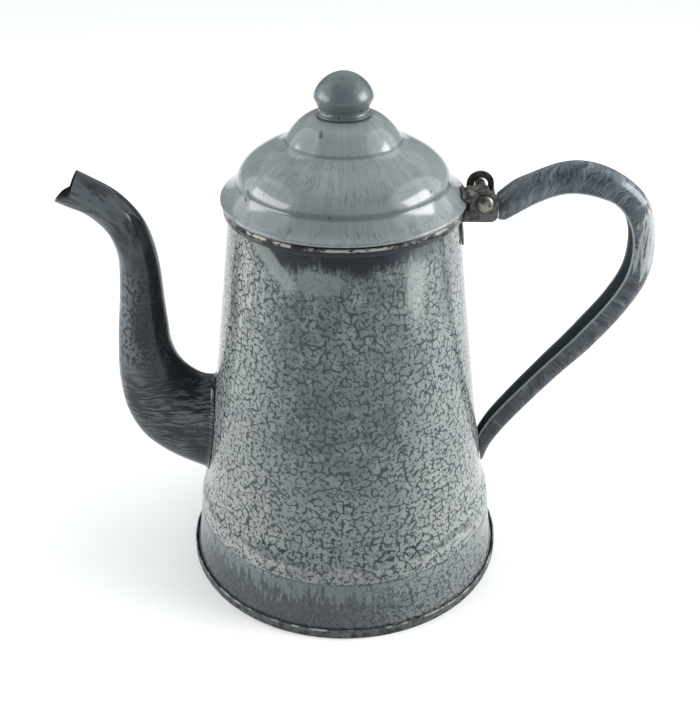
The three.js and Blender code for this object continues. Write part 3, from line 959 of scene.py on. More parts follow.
@dataclass(frozen=True)
class WallEnamel(Enamel):
    """The mottled enamel of the wall, with its foot band, its dark runs under the rim and its bare rim.

    metal_from and crease are heights in millimetres, sheet_radius is where the unrolled pattern is true
    to size, and ragged and nibbled are how wide the waves of the band's and the bare rim's edges are.
    """

    band: str = "3b4246"
    tongue: str = "656d70"
    pale: str = "a3a8a3"
    # the colour of the shadow painted under the rolled rim
    rim_shadow: str = "1d2226"
    metal: str = "94938c"
    tarnish: str = "2b2c2c"
    soot: str = "101213"
    metal_from: float = 182.6
    crease: float = 26.8
    sheet_radius: float = 58.0
    ragged: float = 11.1
    nibbled: float = 2.0

    def mottled(self, tree: Tree, where: Socket, height: Socket, side: Socket) -> Socket:
        """Draws broken crooked lines on a ground that is paler low down, with painted sheen that pales the
        wall's sides and streaks its left.

        Args:
            tree: The material's tree.
            where: The place in millimetres.
            height: Its height.
            side: Its way to the right of the pot's axis.

        Returns:
            The colour.
        """
        flat = unrolled(tree, where, self.sheet_radius)
        streaks = clouds(tree, where, 2.2, 0.42, 0.66, stretch=(1, 1, 9), detail=2, shift=3)
        # Painted sheen: the pale vertical streaks grow stronger on the wall's left, more so higher up.
        left = add(tree, RANGE, {0: side, 1: -24.0, 2: -40.0, 3: 0.1, 4: 0.7})
        high = add(tree, RANGE, {0: height, 1: 100.0, 2: 150.0, 3: 0.15, 4: 1.0})
        wide = add(tree, MATH, {0: side}, operation="ABSOLUTE")
        # Painted sheen: the wall is paler towards its sides.
        outer = add(tree, RANGE, {0: wide, 1: 18.0, 2: 44.0, 4: 0.37}, **SMOOTH)
        low = add(tree, RANGE, {0: height, 1: 104.0, 2: 50.0, 4: 0.26}, **SMOOTH)
        mist = clouds(tree, where, 6, 0.46, 0.66, stretch=(1, 1, 1.4), detail=2, shift=27)
        worms = worm_lines(tree, where, flat, self.cell, self.width, (0.41, 0.51))
        short = worm_lines(tree, where, flat, self.cell * 0.64, self.width * 0.8, (0.47, 0.57), 40)
        return painted(tree, self.drift(tree, where), [
            (outer, self.pale),
            (low, self.pale),
            (shared(tree, streaks, left, high), self.pale),
            (shared(tree, mist, 0.22), self.pale),
            (shared(tree, short, 0.8), self.lines),
            (worms, self.lines),
        ])

    def footed(self, tree: Tree, where: Socket, height: Socket, side: Socket, wall: Socket) -> Socket:
        """Draws the foot band, darkest to the left, with pale drips that hang from the crease, a thin line of
        painted shade in the crease, and above it a band of painted highlight and one of painted shade.

        Args:
            tree: The material's tree.
            where: The place in millimetres.
            height: Its height.
            side: Its way to the right of the pot's axis.
            wall: The colour that the band lies on.

        Returns:
            The colour.
        """
        ragged = add(tree, NOISE, {"Vector": where, "Scale": 1 / self.ragged, "Detail": 2.0})
        edge = add(tree, MATH, {0: ragged, 1: 3.0, 2: height}, operation="MULTIPLY_ADD")
        band = add(tree, RANGE, {0: edge, 1: self.crease + 2.2, 2: self.crease + 1.0}, **SMOOTH)
        darker = add(tree, RANGE, {0: side, 1: -8.0, 2: 30.0, 3: 0.9, 4: 0.45})
        drips = clouds(tree, where, 1.5, 0.0, 1.0, stretch=(1, 1, 5), detail=2, shift=9)
        drop = add(tree, RANGE, {0: height, 1: self.crease - 13, 2: self.crease, 3: -0.2, 4: 0.26})
        hanging = add(tree, MATH, {0: drips, 1: drop}, operation="ADD")
        hung = add(tree, RANGE, {0: hanging, 1: 0.46, 2: 0.6, 4: 0.9}, **SMOOTH)
        wavy = add(tree, MATH, {0: ragged, 1: 9.0, 2: height}, operation="MULTIPLY_ADD")
        patchy = clouds(tree, where, 15, 0.42, 0.56)
        return painted(tree, wall, [
            # Painted highlight and painted shade: a pale wavy band along the shoulder over the crease, with a
            # dark one above it.
            (shared(tree, belt(tree, wavy, self.crease + 11.5, 0.5, 1.6), patchy, 0.26), self.pale),
            (shared(tree, belt(tree, wavy, self.crease + 14.5, 0.7, 1.6), patchy, 0.5), self.band),
            (shared(tree, band, darker), painted(tree, self.band, [(hung, self.tongue)])),
            # Painted shade: a thin dark line in the crease.
            (shared(tree, belt(tree, height, self.crease + 0.6, 0.2, 0.5), 0.6), self.lines),
        ])

    def worn_rim(self, tree: Tree, where: Socket, height: Socket) -> tuple[Socket, Socket, Socket]:
        """Draws the rolled rim, worn to bare steel with black dashes of enamel left in its hollows.

        Args:
            tree: The material's tree.
            where: The place in millimetres.
            height: Its height.

        Returns:
            Where the rim is bare, its colour, and where it is metal.
        """
        worn = add(tree, NOISE, {"Vector": where, "Scale": 1 / self.nibbled, "Detail": 4.0})
        lifted = add(tree, MATH, {0: worn, 1: 1.6, 2: height}, operation="MULTIPLY_ADD")
        bare = add(tree, RANGE, {0: lifted, 1: self.metal_from + 0.6, 2: self.metal_from + 1.0}, **SMOOTH)
        dashes = clouds(tree, where, 2.0, 0.54, 0.6, stretch=(1.6, 1.6, 0.6), detail=3, shift=5)
        # Along the roll's middle the bare steel is pale: worn bright, and partly a painted highlight.
        strip = belt(tree, height, self.metal_from + 1.3, 0.35, 0.6)
        worn_sheen = shared(tree, strip, clouds(tree, where, 7, 0.36, 0.5))
        steel = painted(tree, self.tarnish, [(worn_sheen, self.metal), (dashes, self.soot)])
        clear = add(tree, MATH, {0: dashes, 1: -1.0, 2: 1.0}, operation="MULTIPLY_ADD")
        return bare, steel, shared(tree, bare, clear)

    def build(self) -> bpy.types.Material:
        """Builds the wall's enamel.

        Returns:
            The material.
        """
        material, tree = self.start()
        where = millimetres(tree)
        height = add(tree, "ShaderNodeSeparateXYZ", {0: where}, "Z")
        side = add(tree, "ShaderNodeSeparateXYZ", {0: where}, "X")
        wall = self.mottled(tree, where, height, side)
        footed = self.footed(tree, where, height, side, wall)
        # Painted shadow: a dark line on the wall just under the rolled rim.
        line = shared(tree, belt(tree, height, self.metal_from - 0.9, 0.4, 0.5), 0.85)
        bare, steel, metal = self.worn_rim(tree, where, height)
        layers = [*self.spots(tree, where), (line, self.rim_shadow), (bare, steel)]
        sockets = {
            "Base Color": painted(tree, footed, layers),
            "Roughness": add(tree, RANGE, {0: bare, 3: self.roughness, 4: 0.4}),
            "Metallic": metal,
            "Specular IOR Level": self.mirror,
        }
        self.close(tree, sockets, self.ripple(tree, where), self.waves)
        return material


@dataclass(frozen=True)
class LidEnamel(Enamel):
    """The lid's enamel, combed outwards where the glaze ran while the dome was spun.

    shoulder, ledge and brim are the rings where that shows most: middle radius, half width and fade.
    """

    pale: str = "b4bcbd"
    shoulder: tuple[float, float, float] = (38.0, 3.0, 5.0)
    ledge: tuple[float, float, float] = (28.0, 0.8, 3.0)
    brim: tuple[float, float, float] = (50.5, 0.8, 2.6)
    # radii of the grooves that get a line of painted shade
    grooves: tuple[float, ...] = (45.6, 24.7, 11.9)

    def build(self) -> bpy.types.Material:
        """Builds the lid's enamel.

        Returns:
            The material.
        """
        material, tree = self.start()
        where = millimetres(tree)
        flat = add(tree, VECTOR, {0: where, 1: (1, 1, 0)}, operation="MULTIPLY")
        radius = add(tree, VECTOR, {0: flat}, "Value", operation="LENGTH")
        heading = add(tree, VECTOR, {0: flat}, operation="NORMALIZE")
        combed = add(tree, VECTOR, {0: heading, "Scale": 40.0}, operation="SCALE")
        out = add(tree, "ShaderNodeCombineXYZ", {"Z": radius})
        spread = add(tree, VECTOR, {0: combed, 1: out}, operation="ADD")
        combing = clouds(tree, spread, 0.75, 0.46, 0.66, stretch=(1, 1, 4), detail=3)
        light = clouds(tree, spread, 2.4, 0.45, 0.75, stretch=(1, 1, 9), detail=2, shift=11)
        patchy = clouds(tree, where, 9, 0.4, 0.6)
        specks = clouds(tree, where, 1.9, 0.77, 0.8, detail=1)
        layers = [
            (shared(tree, light, 0.11), self.pale),
            (shared(tree, combing, patchy, 0.13), self.lines),
            (shared(tree, combing, patchy, belt(tree, radius, *self.shoulder), 0.3), self.lines),
            (shared(tree, combing, belt(tree, radius, *self.ledge), 0.36), self.lines),
            (shared(tree, combing, patchy, belt(tree, radius, *self.brim), 0.5), self.lines),
            (specks, self.lines),
        ]
        # Painted shade: a dark line along each groove of the pressing.
        groove_shade = [shared(tree, belt(tree, radius, groove, 0.2, 0.5), 0.5) for groove in self.grooves]
        layers += [(mask, self.lines) for mask in groove_shade]
        self.dressed(tree, where, layers + self.spots(tree, where))
        return material


@dataclass(frozen=True)
class RunEnamel(Enamel):
    """Slate enamel on a long dipped piece.

    It follows the piece through two attributes: lay, two places round it and one along it, and rim,
    the distance from its open edge, below 0 on its inside. lip is the line along that edge: where it
    lies, half its width and its fade. wave is how wide the waves in its bands are, in millimetres.
    """

    pale: str = "8b949a"
    dark: str = "181d21"
    edge: str = "14181b"
    inside: str = "1c2023"
    lip: tuple[float, float, float] = (0.1, 0.7, 0.5)
    wave: float = 8.33

    def runs(self, tree: Tree, where: Socket, lay: Socket) -> list[tuple[Socket, str]]:
        """Draws the slanting bands where the glaze gathered.

        Args:
            tree: The material's tree.
            where: The place in millimetres.
            lay: The place round and along the piece.

        Returns:
            Masks and their colours.
        """
        wobble = add(tree, NOISE, {"Vector": lay, "Scale": 1 / self.wave, "Detail": 2.0}, "Color")
        wavy = add(tree, VECTOR, {0: wobble, 1: (8, 8, 8), 2: lay}, operation="MULTIPLY_ADD")
        slant = {"Vector": wavy, "Axis": (1, 1, 0), "Angle": math.radians(30)}
        wavy = add(tree, "ShaderNodeVectorRotate", slant)
        bands = clouds(tree, wavy, 1.3, 0.46, 0.62, stretch=(6, 6, 1), detail=3)
        pale = clouds(tree, wavy, 4.2, 0.50, 0.70, stretch=(4, 4, 1), detail=4, shift=21)
        height = add(tree, "ShaderNodeSeparateXYZ", {0: where}, "Z")
        low = add(tree, RANGE, {0: height, 1: 165.0, 2: 60.0, 4: 0.5})
        fine = clouds(tree, lay, 0.8, 0.42, 0.66, stretch=(6, 6, 1), detail=2, shift=17)
        return [
            (low, self.dark),
            (shared(tree, pale, 0.5), self.pale),
            (shared(tree, bands, 0.6), self.dark),
            (shared(tree, fine, 0.35), self.dark),
        ]

    def build(self) -> bpy.types.Material:
        """Builds the enamel with its runs.

        Returns:
            The material.
        """
        material, tree = self.start()
        where = millimetres(tree)
        lay = add(tree, "ShaderNodeAttribute", out="Vector", attribute_name="lay")
        rim = add(tree, "ShaderNodeAttribute", out="Fac", attribute_name="rim")
        layers = self.runs(tree, where, lay) + self.spots(tree, where)
        layers.append((add(tree, RANGE, {0: rim, 1: -0.2, 2: -0.7, 4: 0.85}), self.inside))
        # On the strap this lip line is pale, a painted highlight along its lips.
        layers.append((belt(tree, rim, *self.lip), self.edge))
        self.dressed(tree, where, layers)
        return material


@dataclass(frozen=True)
class SpoutEnamel(RunEnamel):
    """The spout's slate enamel: wavy level bands at the root, flecks half way up, dark runs at the top.

    root_top is the height where the bands end. flecks_at and shade_at are the middle height, half
    width and fade of the flecks and of the dark back.
    """

    wave: float = 14.3
    root_top: float = 98.0
    flecks_at: tuple[float, float, float] = (128.0, 18.0, 14.0)
    shade_at: tuple[float, float, float] = (128.0, 26.0, 22.0)

    def runs(self, tree: Tree, where: Socket, lay: Socket) -> list[tuple[Socket, str]]:
        """Draws the bands at the root, the flecks above them and the runs at the top.

        Args:
            tree: The material's tree.
            where: The place in millimetres.
            lay: The place round and along the spout.

        Returns:
            Masks and their colours.
        """
        height = add(tree, "ShaderNodeSeparateXYZ", {0: where}, "Z")
        wobble = add(tree, NOISE, {"Vector": where, "Scale": 1 / self.wave, "Detail": 2.0}, "Color")
        wavy = add(tree, VECTOR, {0: wobble, 1: (6, 6, 6), 2: where}, operation="MULTIPLY_ADD")
        bands = clouds(tree, wavy, 0.95, 0.43, 0.53, stretch=(9, 9, 1), detail=2)
        low = add(tree, RANGE, {0: height, 1: self.root_top + 12, 2: self.root_top - 6}, **SMOOTH)
        flecks = clouds(tree, where, 1.3, 0.5, 0.55, stretch=(1, 1, 1.5), detail=0)
        across = add(tree, "ShaderNodeSeparateXYZ", {0: lay}, "X")
        behind = add(tree, RANGE, {0: across, 1: -5.0, 2: 4.0}, **SMOOTH)
        above = belt(tree, height, *self.shade_at)
        runs = clouds(tree, lay, 3.4, 0.5, 0.64, stretch=(1, 1, 3), detail=3, shift=5)
        high = add(tree, RANGE, {0: height, 1: 150.0, 2: 168.0}, **SMOOTH)
        soft = clouds(tree, lay, 16, 0.42, 0.62, stretch=(1, 1, 3), detail=2, shift=31)
        return [
            (shared(tree, soft, 0.3), self.pale),
            (shared(tree, bands, low, 0.95), self.dark),
            (shared(tree, behind, above, 0.65), self.dark),
            (shared(tree, flecks, belt(tree, height, *self.flecks_at), 0.85), self.dark),
            (shared(tree, runs, high, 0.6), self.dark),
        ]


@dataclass(frozen=True)
class Steel(Finish):
    """Bare pressed steel that has darkened: metal, rubbed bright in places and rusty in others.

    grain is the size of its clouds of tarnish, grit and pits how wide and how deep its roughness is,
    and worn_sheen_at the height of an edge that is pale here and there, from wear and partly a painted
    highlight, all in millimetres.
    """

    bright: str = "a09b91"
    dull: str = "55514b"
    rust: str = "4a3526"
    roughness: float = 0.38
    metallic: float = 1.0
    grain: float = 3.0
    grit: float = 0.833
    pits: float = 0.04
    worn_sheen_at: float | None = None
    worn_sheen: str = "8f908b"

    def build(self) -> bpy.types.Material:
        """Builds the steel.

        Returns:
            The material.
        """
        material, tree = self.start()
        where = millimetres(tree)
        dull = clouds(tree, where, self.grain, 0.42, 0.62)
        rust = clouds(tree, where, self.grain * 0.8, 0.6, 0.72, shift=7)
        layers = [(dull, self.dull), (rust, self.rust)]
        if self.worn_sheen_at is not None:
            # An edge at this height is pale here and there: worn, and partly a painted highlight.
            height = add(tree, "ShaderNodeSeparateXYZ", {0: where}, "Z")
            patchy = clouds(tree, where, 6, 0.46, 0.56)
            layers.append((shared(tree, belt(tree, height, self.worn_sheen_at, 0.3, 0.5), patchy), self.worn_sheen))
        colour = painted(tree, self.bright, layers)
        rough = add(tree, RANGE, {0: dull, 3: self.roughness, 4: self.roughness + 0.2})
        sockets = {"Base Color": colour, "Roughness": rough, "Metallic": self.metallic}
        grit = add(tree, NOISE, {"Vector": where, "Scale": 1 / self.grit, "Detail": 3.0})
        self.close(tree, sockets, grit, self.pits)
        return material


# ---------------------------------------------------------------- the pot


@dataclass
class Vessel:
    """The wall with its rolled rim, and the bottom folded round its foot.

    crease and wall_base are radius and height of the line over the foot flare and of the shoulder's
    top. Above straight_from the wall is one even curve. The bottom's flat disc, which needs no fine
    points, lies disc_inset inside its fold.
    """

    foot_radius: float = 76.2
    foot_height: float = 4.6
    crease: tuple[float, float] = (71.0, 26.8)
    bulge: float = 0.5
    wall_base: tuple[float, float] = (67.3, 42.2)
    neck_radius: float = 49.5
    mouth: float = 185.8
    waist: float = 0.25
    straight_from: float = 45.0
    bead_radius: float = 1.8
    bead_skirt: float = 2.7
    floor: float = 3.0
    disc_inset: float = 4.0
    strainer_height: float = 68.4
    strainer_pitch: float = 8.0
    strainer_radius: float = 2.75
    segments: int = 192

    @property
    def bead(self) -> tuple[float, float]:
        """Gives the centre of the rolled rim."""
        return self.neck_radius + self.bead_radius - SHEET, self.mouth - self.bead_radius

    def wall_radius(self, height: float) -> float:
        """Works out the wall's outside radius between shoulder and neck.

        Args:
            height: The height it is wanted at.

        Returns:
            The radius.
        """
        share = min(max((height - self.wall_base[1]) / (self.bead[1] - self.wall_base[1]), 0), 1)
        straight = self.wall_base[0] + (self.neck_radius - self.wall_base[0]) * share
        return straight - 4 * self.waist * share * (1 - share)

    def face_line(self) -> np.ndarray:
        """Draws the wall's outside from its foot edge up and round the rim's roll.

        Returns:
            Radius and height of its points.
        """
        edge = self.foot_radius - SHEET - GAP
        foot = (edge - GAP, self.foot_height)
        flare_top = (self.crease[0] + self.bulge, self.crease[1] - self.bulge)
        flare_pull = part_way(foot, flare_top, (0.74, 0.39))
        turn = self.crease[1] + 0.4 * (self.wall_base[1] - self.crease[1])
        shoulder = (self.crease[0] + 2 * self.bulge, turn)
        heights = np.linspace(self.wall_base[1], self.bead[1], 40)
        low = [(edge, SHEET + GAP), foot, *bend(foot, flare_pull, flare_top)]
        high = [self.crease, *bend(self.crease, shoulder, self.wall_base)]
        wall = [(self.wall_radius(h), h) for h in heights[1:]]
        roll = arc(self.bead, self.bead_radius - SHEET, 180, 0, 14)
        skirt = [(self.bead[0] + self.bead_radius - SHEET, self.bead[1] - self.bead_skirt)]
        lower = eased(low + high + wall, step=0.9, softness=0.5)
        return np.concatenate([lower[:-1], spaced(np.array(roll + skirt), 0.3)])

    def radius_at(self, heights: np.ndarray) -> np.ndarray:
        """Reads the wall's outside radius off its drawn line.

        Args:
            heights: Heights below the rim's roll.

        Returns:
            The radius at each.
        """
        line = self.face_line()
        line = line[: int(np.argmax(line[:, 1]))]
        return np.interp(heights, line[:, 1], line[:, 0])

    def keep_out(self, clearance: float) -> bpy.types.Object:
        """Makes the space that the wall and its roll fill.

        Args:
            clearance: How much that space is grown.

        Returns:
            The solid.
        """
        skirt = self.bead[1] - self.bead_skirt
        heights = np.linspace(self.foot_height, skirt - clearance, 60)
        rim = self.bead[0] + self.bead_radius + clearance
        radii = [self.wall_radius(h) if h > self.straight_from else self.radius_at(h) for h in heights]
        wall = [(radius + clearance, height) for radius, height in zip(radii, heights)]
        top = self.mouth + clearance
        profile = [(0, self.foot_height), *wall, (rim, skirt - clearance), (rim, top), (0, top)]
        return lathe("keep_out", np.array(profile), self.segments, None)

    def build(self, enamel: bpy.types.Material, seam: bpy.types.Material, wire: bpy.types.Material) -> None:
        """Builds the wall and the bottom, and dresses the wire in the rim.

        Args:
            enamel: The wall's finish.
            seam: The bottom's finish.
            wire: The wire's finish.
        """
        wall = lathe("pot_wall", sheet_profile(self.face_line(), SHEET), self.segments, enamel)
        holes = {
            "Place": (-self.wall_base[0] * MM, 0.0, self.strainer_height * MM),
            "Pitch": self.strainer_pitch * MM,
            "Radius": self.strainer_radius * MM,
            "Reach": 60 * MM,
            "Finish": enamel,
        }
        made_by(STRAINER, wall, holes)
        settle(wall, Body.POT, enamel, ["pot_body"])
        settle(self.bottom(seam), Body.POT, seam, ["bottom_pan"])
        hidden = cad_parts["mouth_wire"]
        hidden.data.materials.clear()
        hidden.data.materials.append(wire)

    def bottom(self, seam: bpy.types.Material) -> bpy.types.Object:
        """Builds the bottom with its edge folded up round the wall's foot.

        Args:
            seam: Its finish.

        Returns:
            The bottom.
        """
        outside, top = self.foot_radius, self.foot_height
        channel_out = outside - SHEET
        channel_in = channel_out - 2 * SHEET - 2 * GAP
        inner = channel_in - SHEET
        hub = inner - self.disc_inset
        under, over = self.floor, self.floor + SHEET
        line = [(hub, under), (inner, under), (inner, 0), (outside, 0), (outside, top), (channel_out, top)]
        line += [(channel_out, SHEET), (channel_in, SHEET), (channel_in, over), (hub, over)]
        soft = eased(line, step=0.25, softness=0.28)
        soft[:, 1] = np.maximum(soft[:, 1], 0)
        profile = np.concatenate([[(0, under)], soft, [(0, over)]])
        return lathe("foot_seam", profile, self.segments, seam)


@dataclass
class Spout:
    """The gooseneck: a drawn tube whose root flares on to the wall and whose mouth is cut to a beak.

    Each station gives the front line and the back line as shares of reach and top, and the half width
    as a share of root_width. root_part and mouth_part are the shares of its length in which the wall
    and the beak's cut are looked for. length and girth are what the pattern of its enamel goes by.
    """

    reach: float = 126.1
    top: float = 196.0
    root_width: float = 29.0
    beak_length: float = 11.4
    beak_depth: float = 14.1
    notch: tuple[float, float] = (0.3, 0.67)
    beak_bow: tuple[float, float] = (0.7, 0.15)
    flange: float = 1.6
    flange_rise: float = 1.9
    flange_lift: float = SHEET * 0.35
    root_part: tuple[float, float] = (0.02, 0.45)
    mouth_part: tuple[float, float] = (0.6, 1.0)
    length: float = 210.0
    girth: float = 12.0
    sides: int = 72
    rings: int = 150
    inner_rings: int = 100
    stations: tuple[tuple[float, ...], ...] = (
        (0.469, 0.2, 0.399, 0.49, 0.5),
        (0.568, 0.225, 0.523, 0.478, 0.5),
        (0.685, 0.264, 0.578, 0.498, 0.48),
        (0.774, 0.315, 0.618, 0.531, 0.45),
        (0.826, 0.386, 0.639, 0.573, 0.42),
        (0.843, 0.48, 0.644, 0.622, 0.39),
        (0.831, 0.592, 0.649, 0.684, 0.365),
        (0.804, 0.725, 0.654, 0.765, 0.34),
        (0.799, 0.807, 0.668, 0.829, 0.32),
        (0.826, 0.86, 0.701, 0.889, 0.305),
        (0.89, 0.901, 0.774, 0.947, 0.285),
        (0.959, 0.92, 0.869, 0.986, 0.26),
        (1.028, 0.941, 0.955, 1.015, 0.24),
    )

    grid: np.ndarray = field(init=False, repr=False)
    angles: np.ndarray = field(init=False, repr=False)
    table: tuple[np.ndarray, ...] = field(init=False, repr=False)

    def __post_init__(self) -> None:
        """Reads the front line, the back line and the half width at fine steps of the length."""
        self.grid = np.linspace(0, 1, 600)
        self.angles = np.linspace(0, math.tau, self.sides, endpoint=False)
        stations = np.array(self.stations)
        scale = np.array([-self.reach, self.top])
        columns = stations[:, 0:2] * scale, stations[:, 2:4] * scale, stations[:, 4:5] * self.root_width
        self.table = tuple(smooth_path(column, self.grid) for column in columns)

    def at(self, shares: np.ndarray, angles: np.ndarray, inset: np.ndarray) -> np.ndarray:
        """Gives points of the tube.

        Args:
            shares: Where along it, one for each point.
            angles: Where round it.
            inset: How far under its outside.

        Returns:
            The points as rows of x, y and z.
        """
        front, back, half = (
            np.stack([np.interp(shares, self.grid, column) for column in line.T], axis=1)
            for line in self.table
        )
        middle, reach = (front + back) / 2, (back - front) / 2
        length = np.linalg.norm(reach, axis=1)
        unit = reach / length[:, None]
        along = (length - inset) * np.cos(angles)
        place = middle + unit * along[:, None]
        return np.stack([place[:, 0], (half[:, 0] - inset) * np.sin(angles), place[:, 1]], axis=1)

    def ring(self, shares: np.ndarray, inset: float) -> np.ndarray:
        """Gives one point on each side of the tube, at a share of its length and an inset."""
        return self.at(shares, self.angles, np.full(self.sides, inset))

    def past_beak(self, points: np.ndarray) -> np.ndarray:
        """Tells how far points are inside the mouth's cut.

        Args:
            points: The points.

        Returns:
            The distance along X, below 0 for what is cut away.
        """
        corner = np.array([self.beak_length - self.reach, self.top])
        tip = np.array([GAP / 4 - self.reach, self.top - self.beak_depth])
        notch = part_way(corner, tip, self.notch)
        edge = np.array([tip, *bend(tip, part_way(notch, tip, self.beak_bow), notch, 12), corner])
        return points[:, 0] - np.interp(points[:, 2], edge[:, 1], edge[:, 0])

    def found(
        self, test: Callable[[np.ndarray], np.ndarray], part: tuple[float, float], inset: float
    ) -> np.ndarray:
        """Searches each side of the tube for the place where a test turns from one sign to the other.

        Args:
            test: Takes points and gives numbers above 0 near the start and below 0 near the end.
            part: The shares of the length to start from and to end at.
            inset: How far under the outside it looks.

        Returns:
            The share of the length for each side.
        """
        places = np.linspace(*part, 160)
        values = np.array([test(self.ring(np.full(self.sides, p), inset)) for p in places])
        first = np.argmax(values < 0, axis=0)
        first = np.where((values < 0).any(axis=0), first, len(places) - 1)
        start = places[np.maximum(first - 1, 0)]
        end = places[first]
        for _ in range(24):
            middle = (start + end) / 2
            good = test(self.ring(middle, inset)) >= 0
            start, end = np.where(good, middle, start), np.where(good, end, middle)
        return (start + end) / 2

    def root(self, vessel: Vessel, clearance: float, inset: float) -> np.ndarray:
        """Finds where each side of the tube comes near the wall.

        Args:
            vessel: What the spout stands on.
            clearance: How near.
            inset: How far under the tube's outside.

        Returns:
            The share of the length for each side.
        """

        def near(points: np.ndarray) -> np.ndarray:
            """Tells how far points are inside that clearance."""
            return vessel.radius_at(points[:, 2]) + clearance - np.hypot(points[:, 0], points[:, 1])

        return self.found(near, self.root_part, inset)

    def build(self, vessel: Vessel, enamel: bpy.types.Material) -> None:
        """Builds the spout against the wall: flange, outside, lip and inside, as one skin of rings.

        Args:
            vessel: What it stands on.
            enamel: Its finish.
        """
        low = GAP + self.flange_lift
        foot = [self.ring(self.root(vessel, GAP, -self.flange), -self.flange)]
        flare = []
        for share in np.linspace(1, 0, 9):
            inset = -self.flange * share**1.5
            clearance = low + self.flange_rise * (1 - share) ** 1.6
            flare.append(self.ring(self.root(vessel, clearance, inset), inset))
        root = self.root(vessel, low + self.flange_rise, 0)
        mouth = self.found(self.past_beak, self.mouth_part, 0)
        spread = np.linspace(0, 1, self.rings)[1:]
        outer = [self.ring(root + (mouth - root) * s, 0) for s in spread]
        inner_root = self.root(vessel, GAP, SHEET)
        inner_mouth = self.found(self.past_beak, self.mouth_part, SHEET)
        lip = [self.ring(mouth + (inner_mouth - mouth) * s, SHEET * s) for s in (0.25, 0.5, 0.75)]
        back = np.linspace(0, 1, self.inner_rings)
        inner = [self.ring(inner_mouth + (inner_root - inner_mouth) * s, SHEET) for s in back]
        rings = np.array(foot + flare + outer + lip + inner)
        outside, inside = len(foot + flare), len(rings) - len(inner)
        along = self.length * np.concatenate([np.zeros(outside), spread, np.ones(len(lip)), 1 - back])
        lay = np.empty((*rings.shape[:2], 3))
        lay[:, :, 0] = self.girth * np.cos(self.angles)
        lay[:, :, 1] = self.girth * np.sin(self.angles)
        lay[:, :, 2] = along[:, None]
        rim = np.full(rings.shape[:2], self.length)
        for number, ring in enumerate(rings[outside:], outside):
            rim[number] = np.abs(self.past_beak(ring))
        rim[inside:] = -rim[inside:] - SHEET / 3
        obj = ring_skin("gooseneck", rings, True, {"lay": lay, "rim": rim})
        settle(outwards(obj), Body.POT, enamel, ["spout"], crease=60)


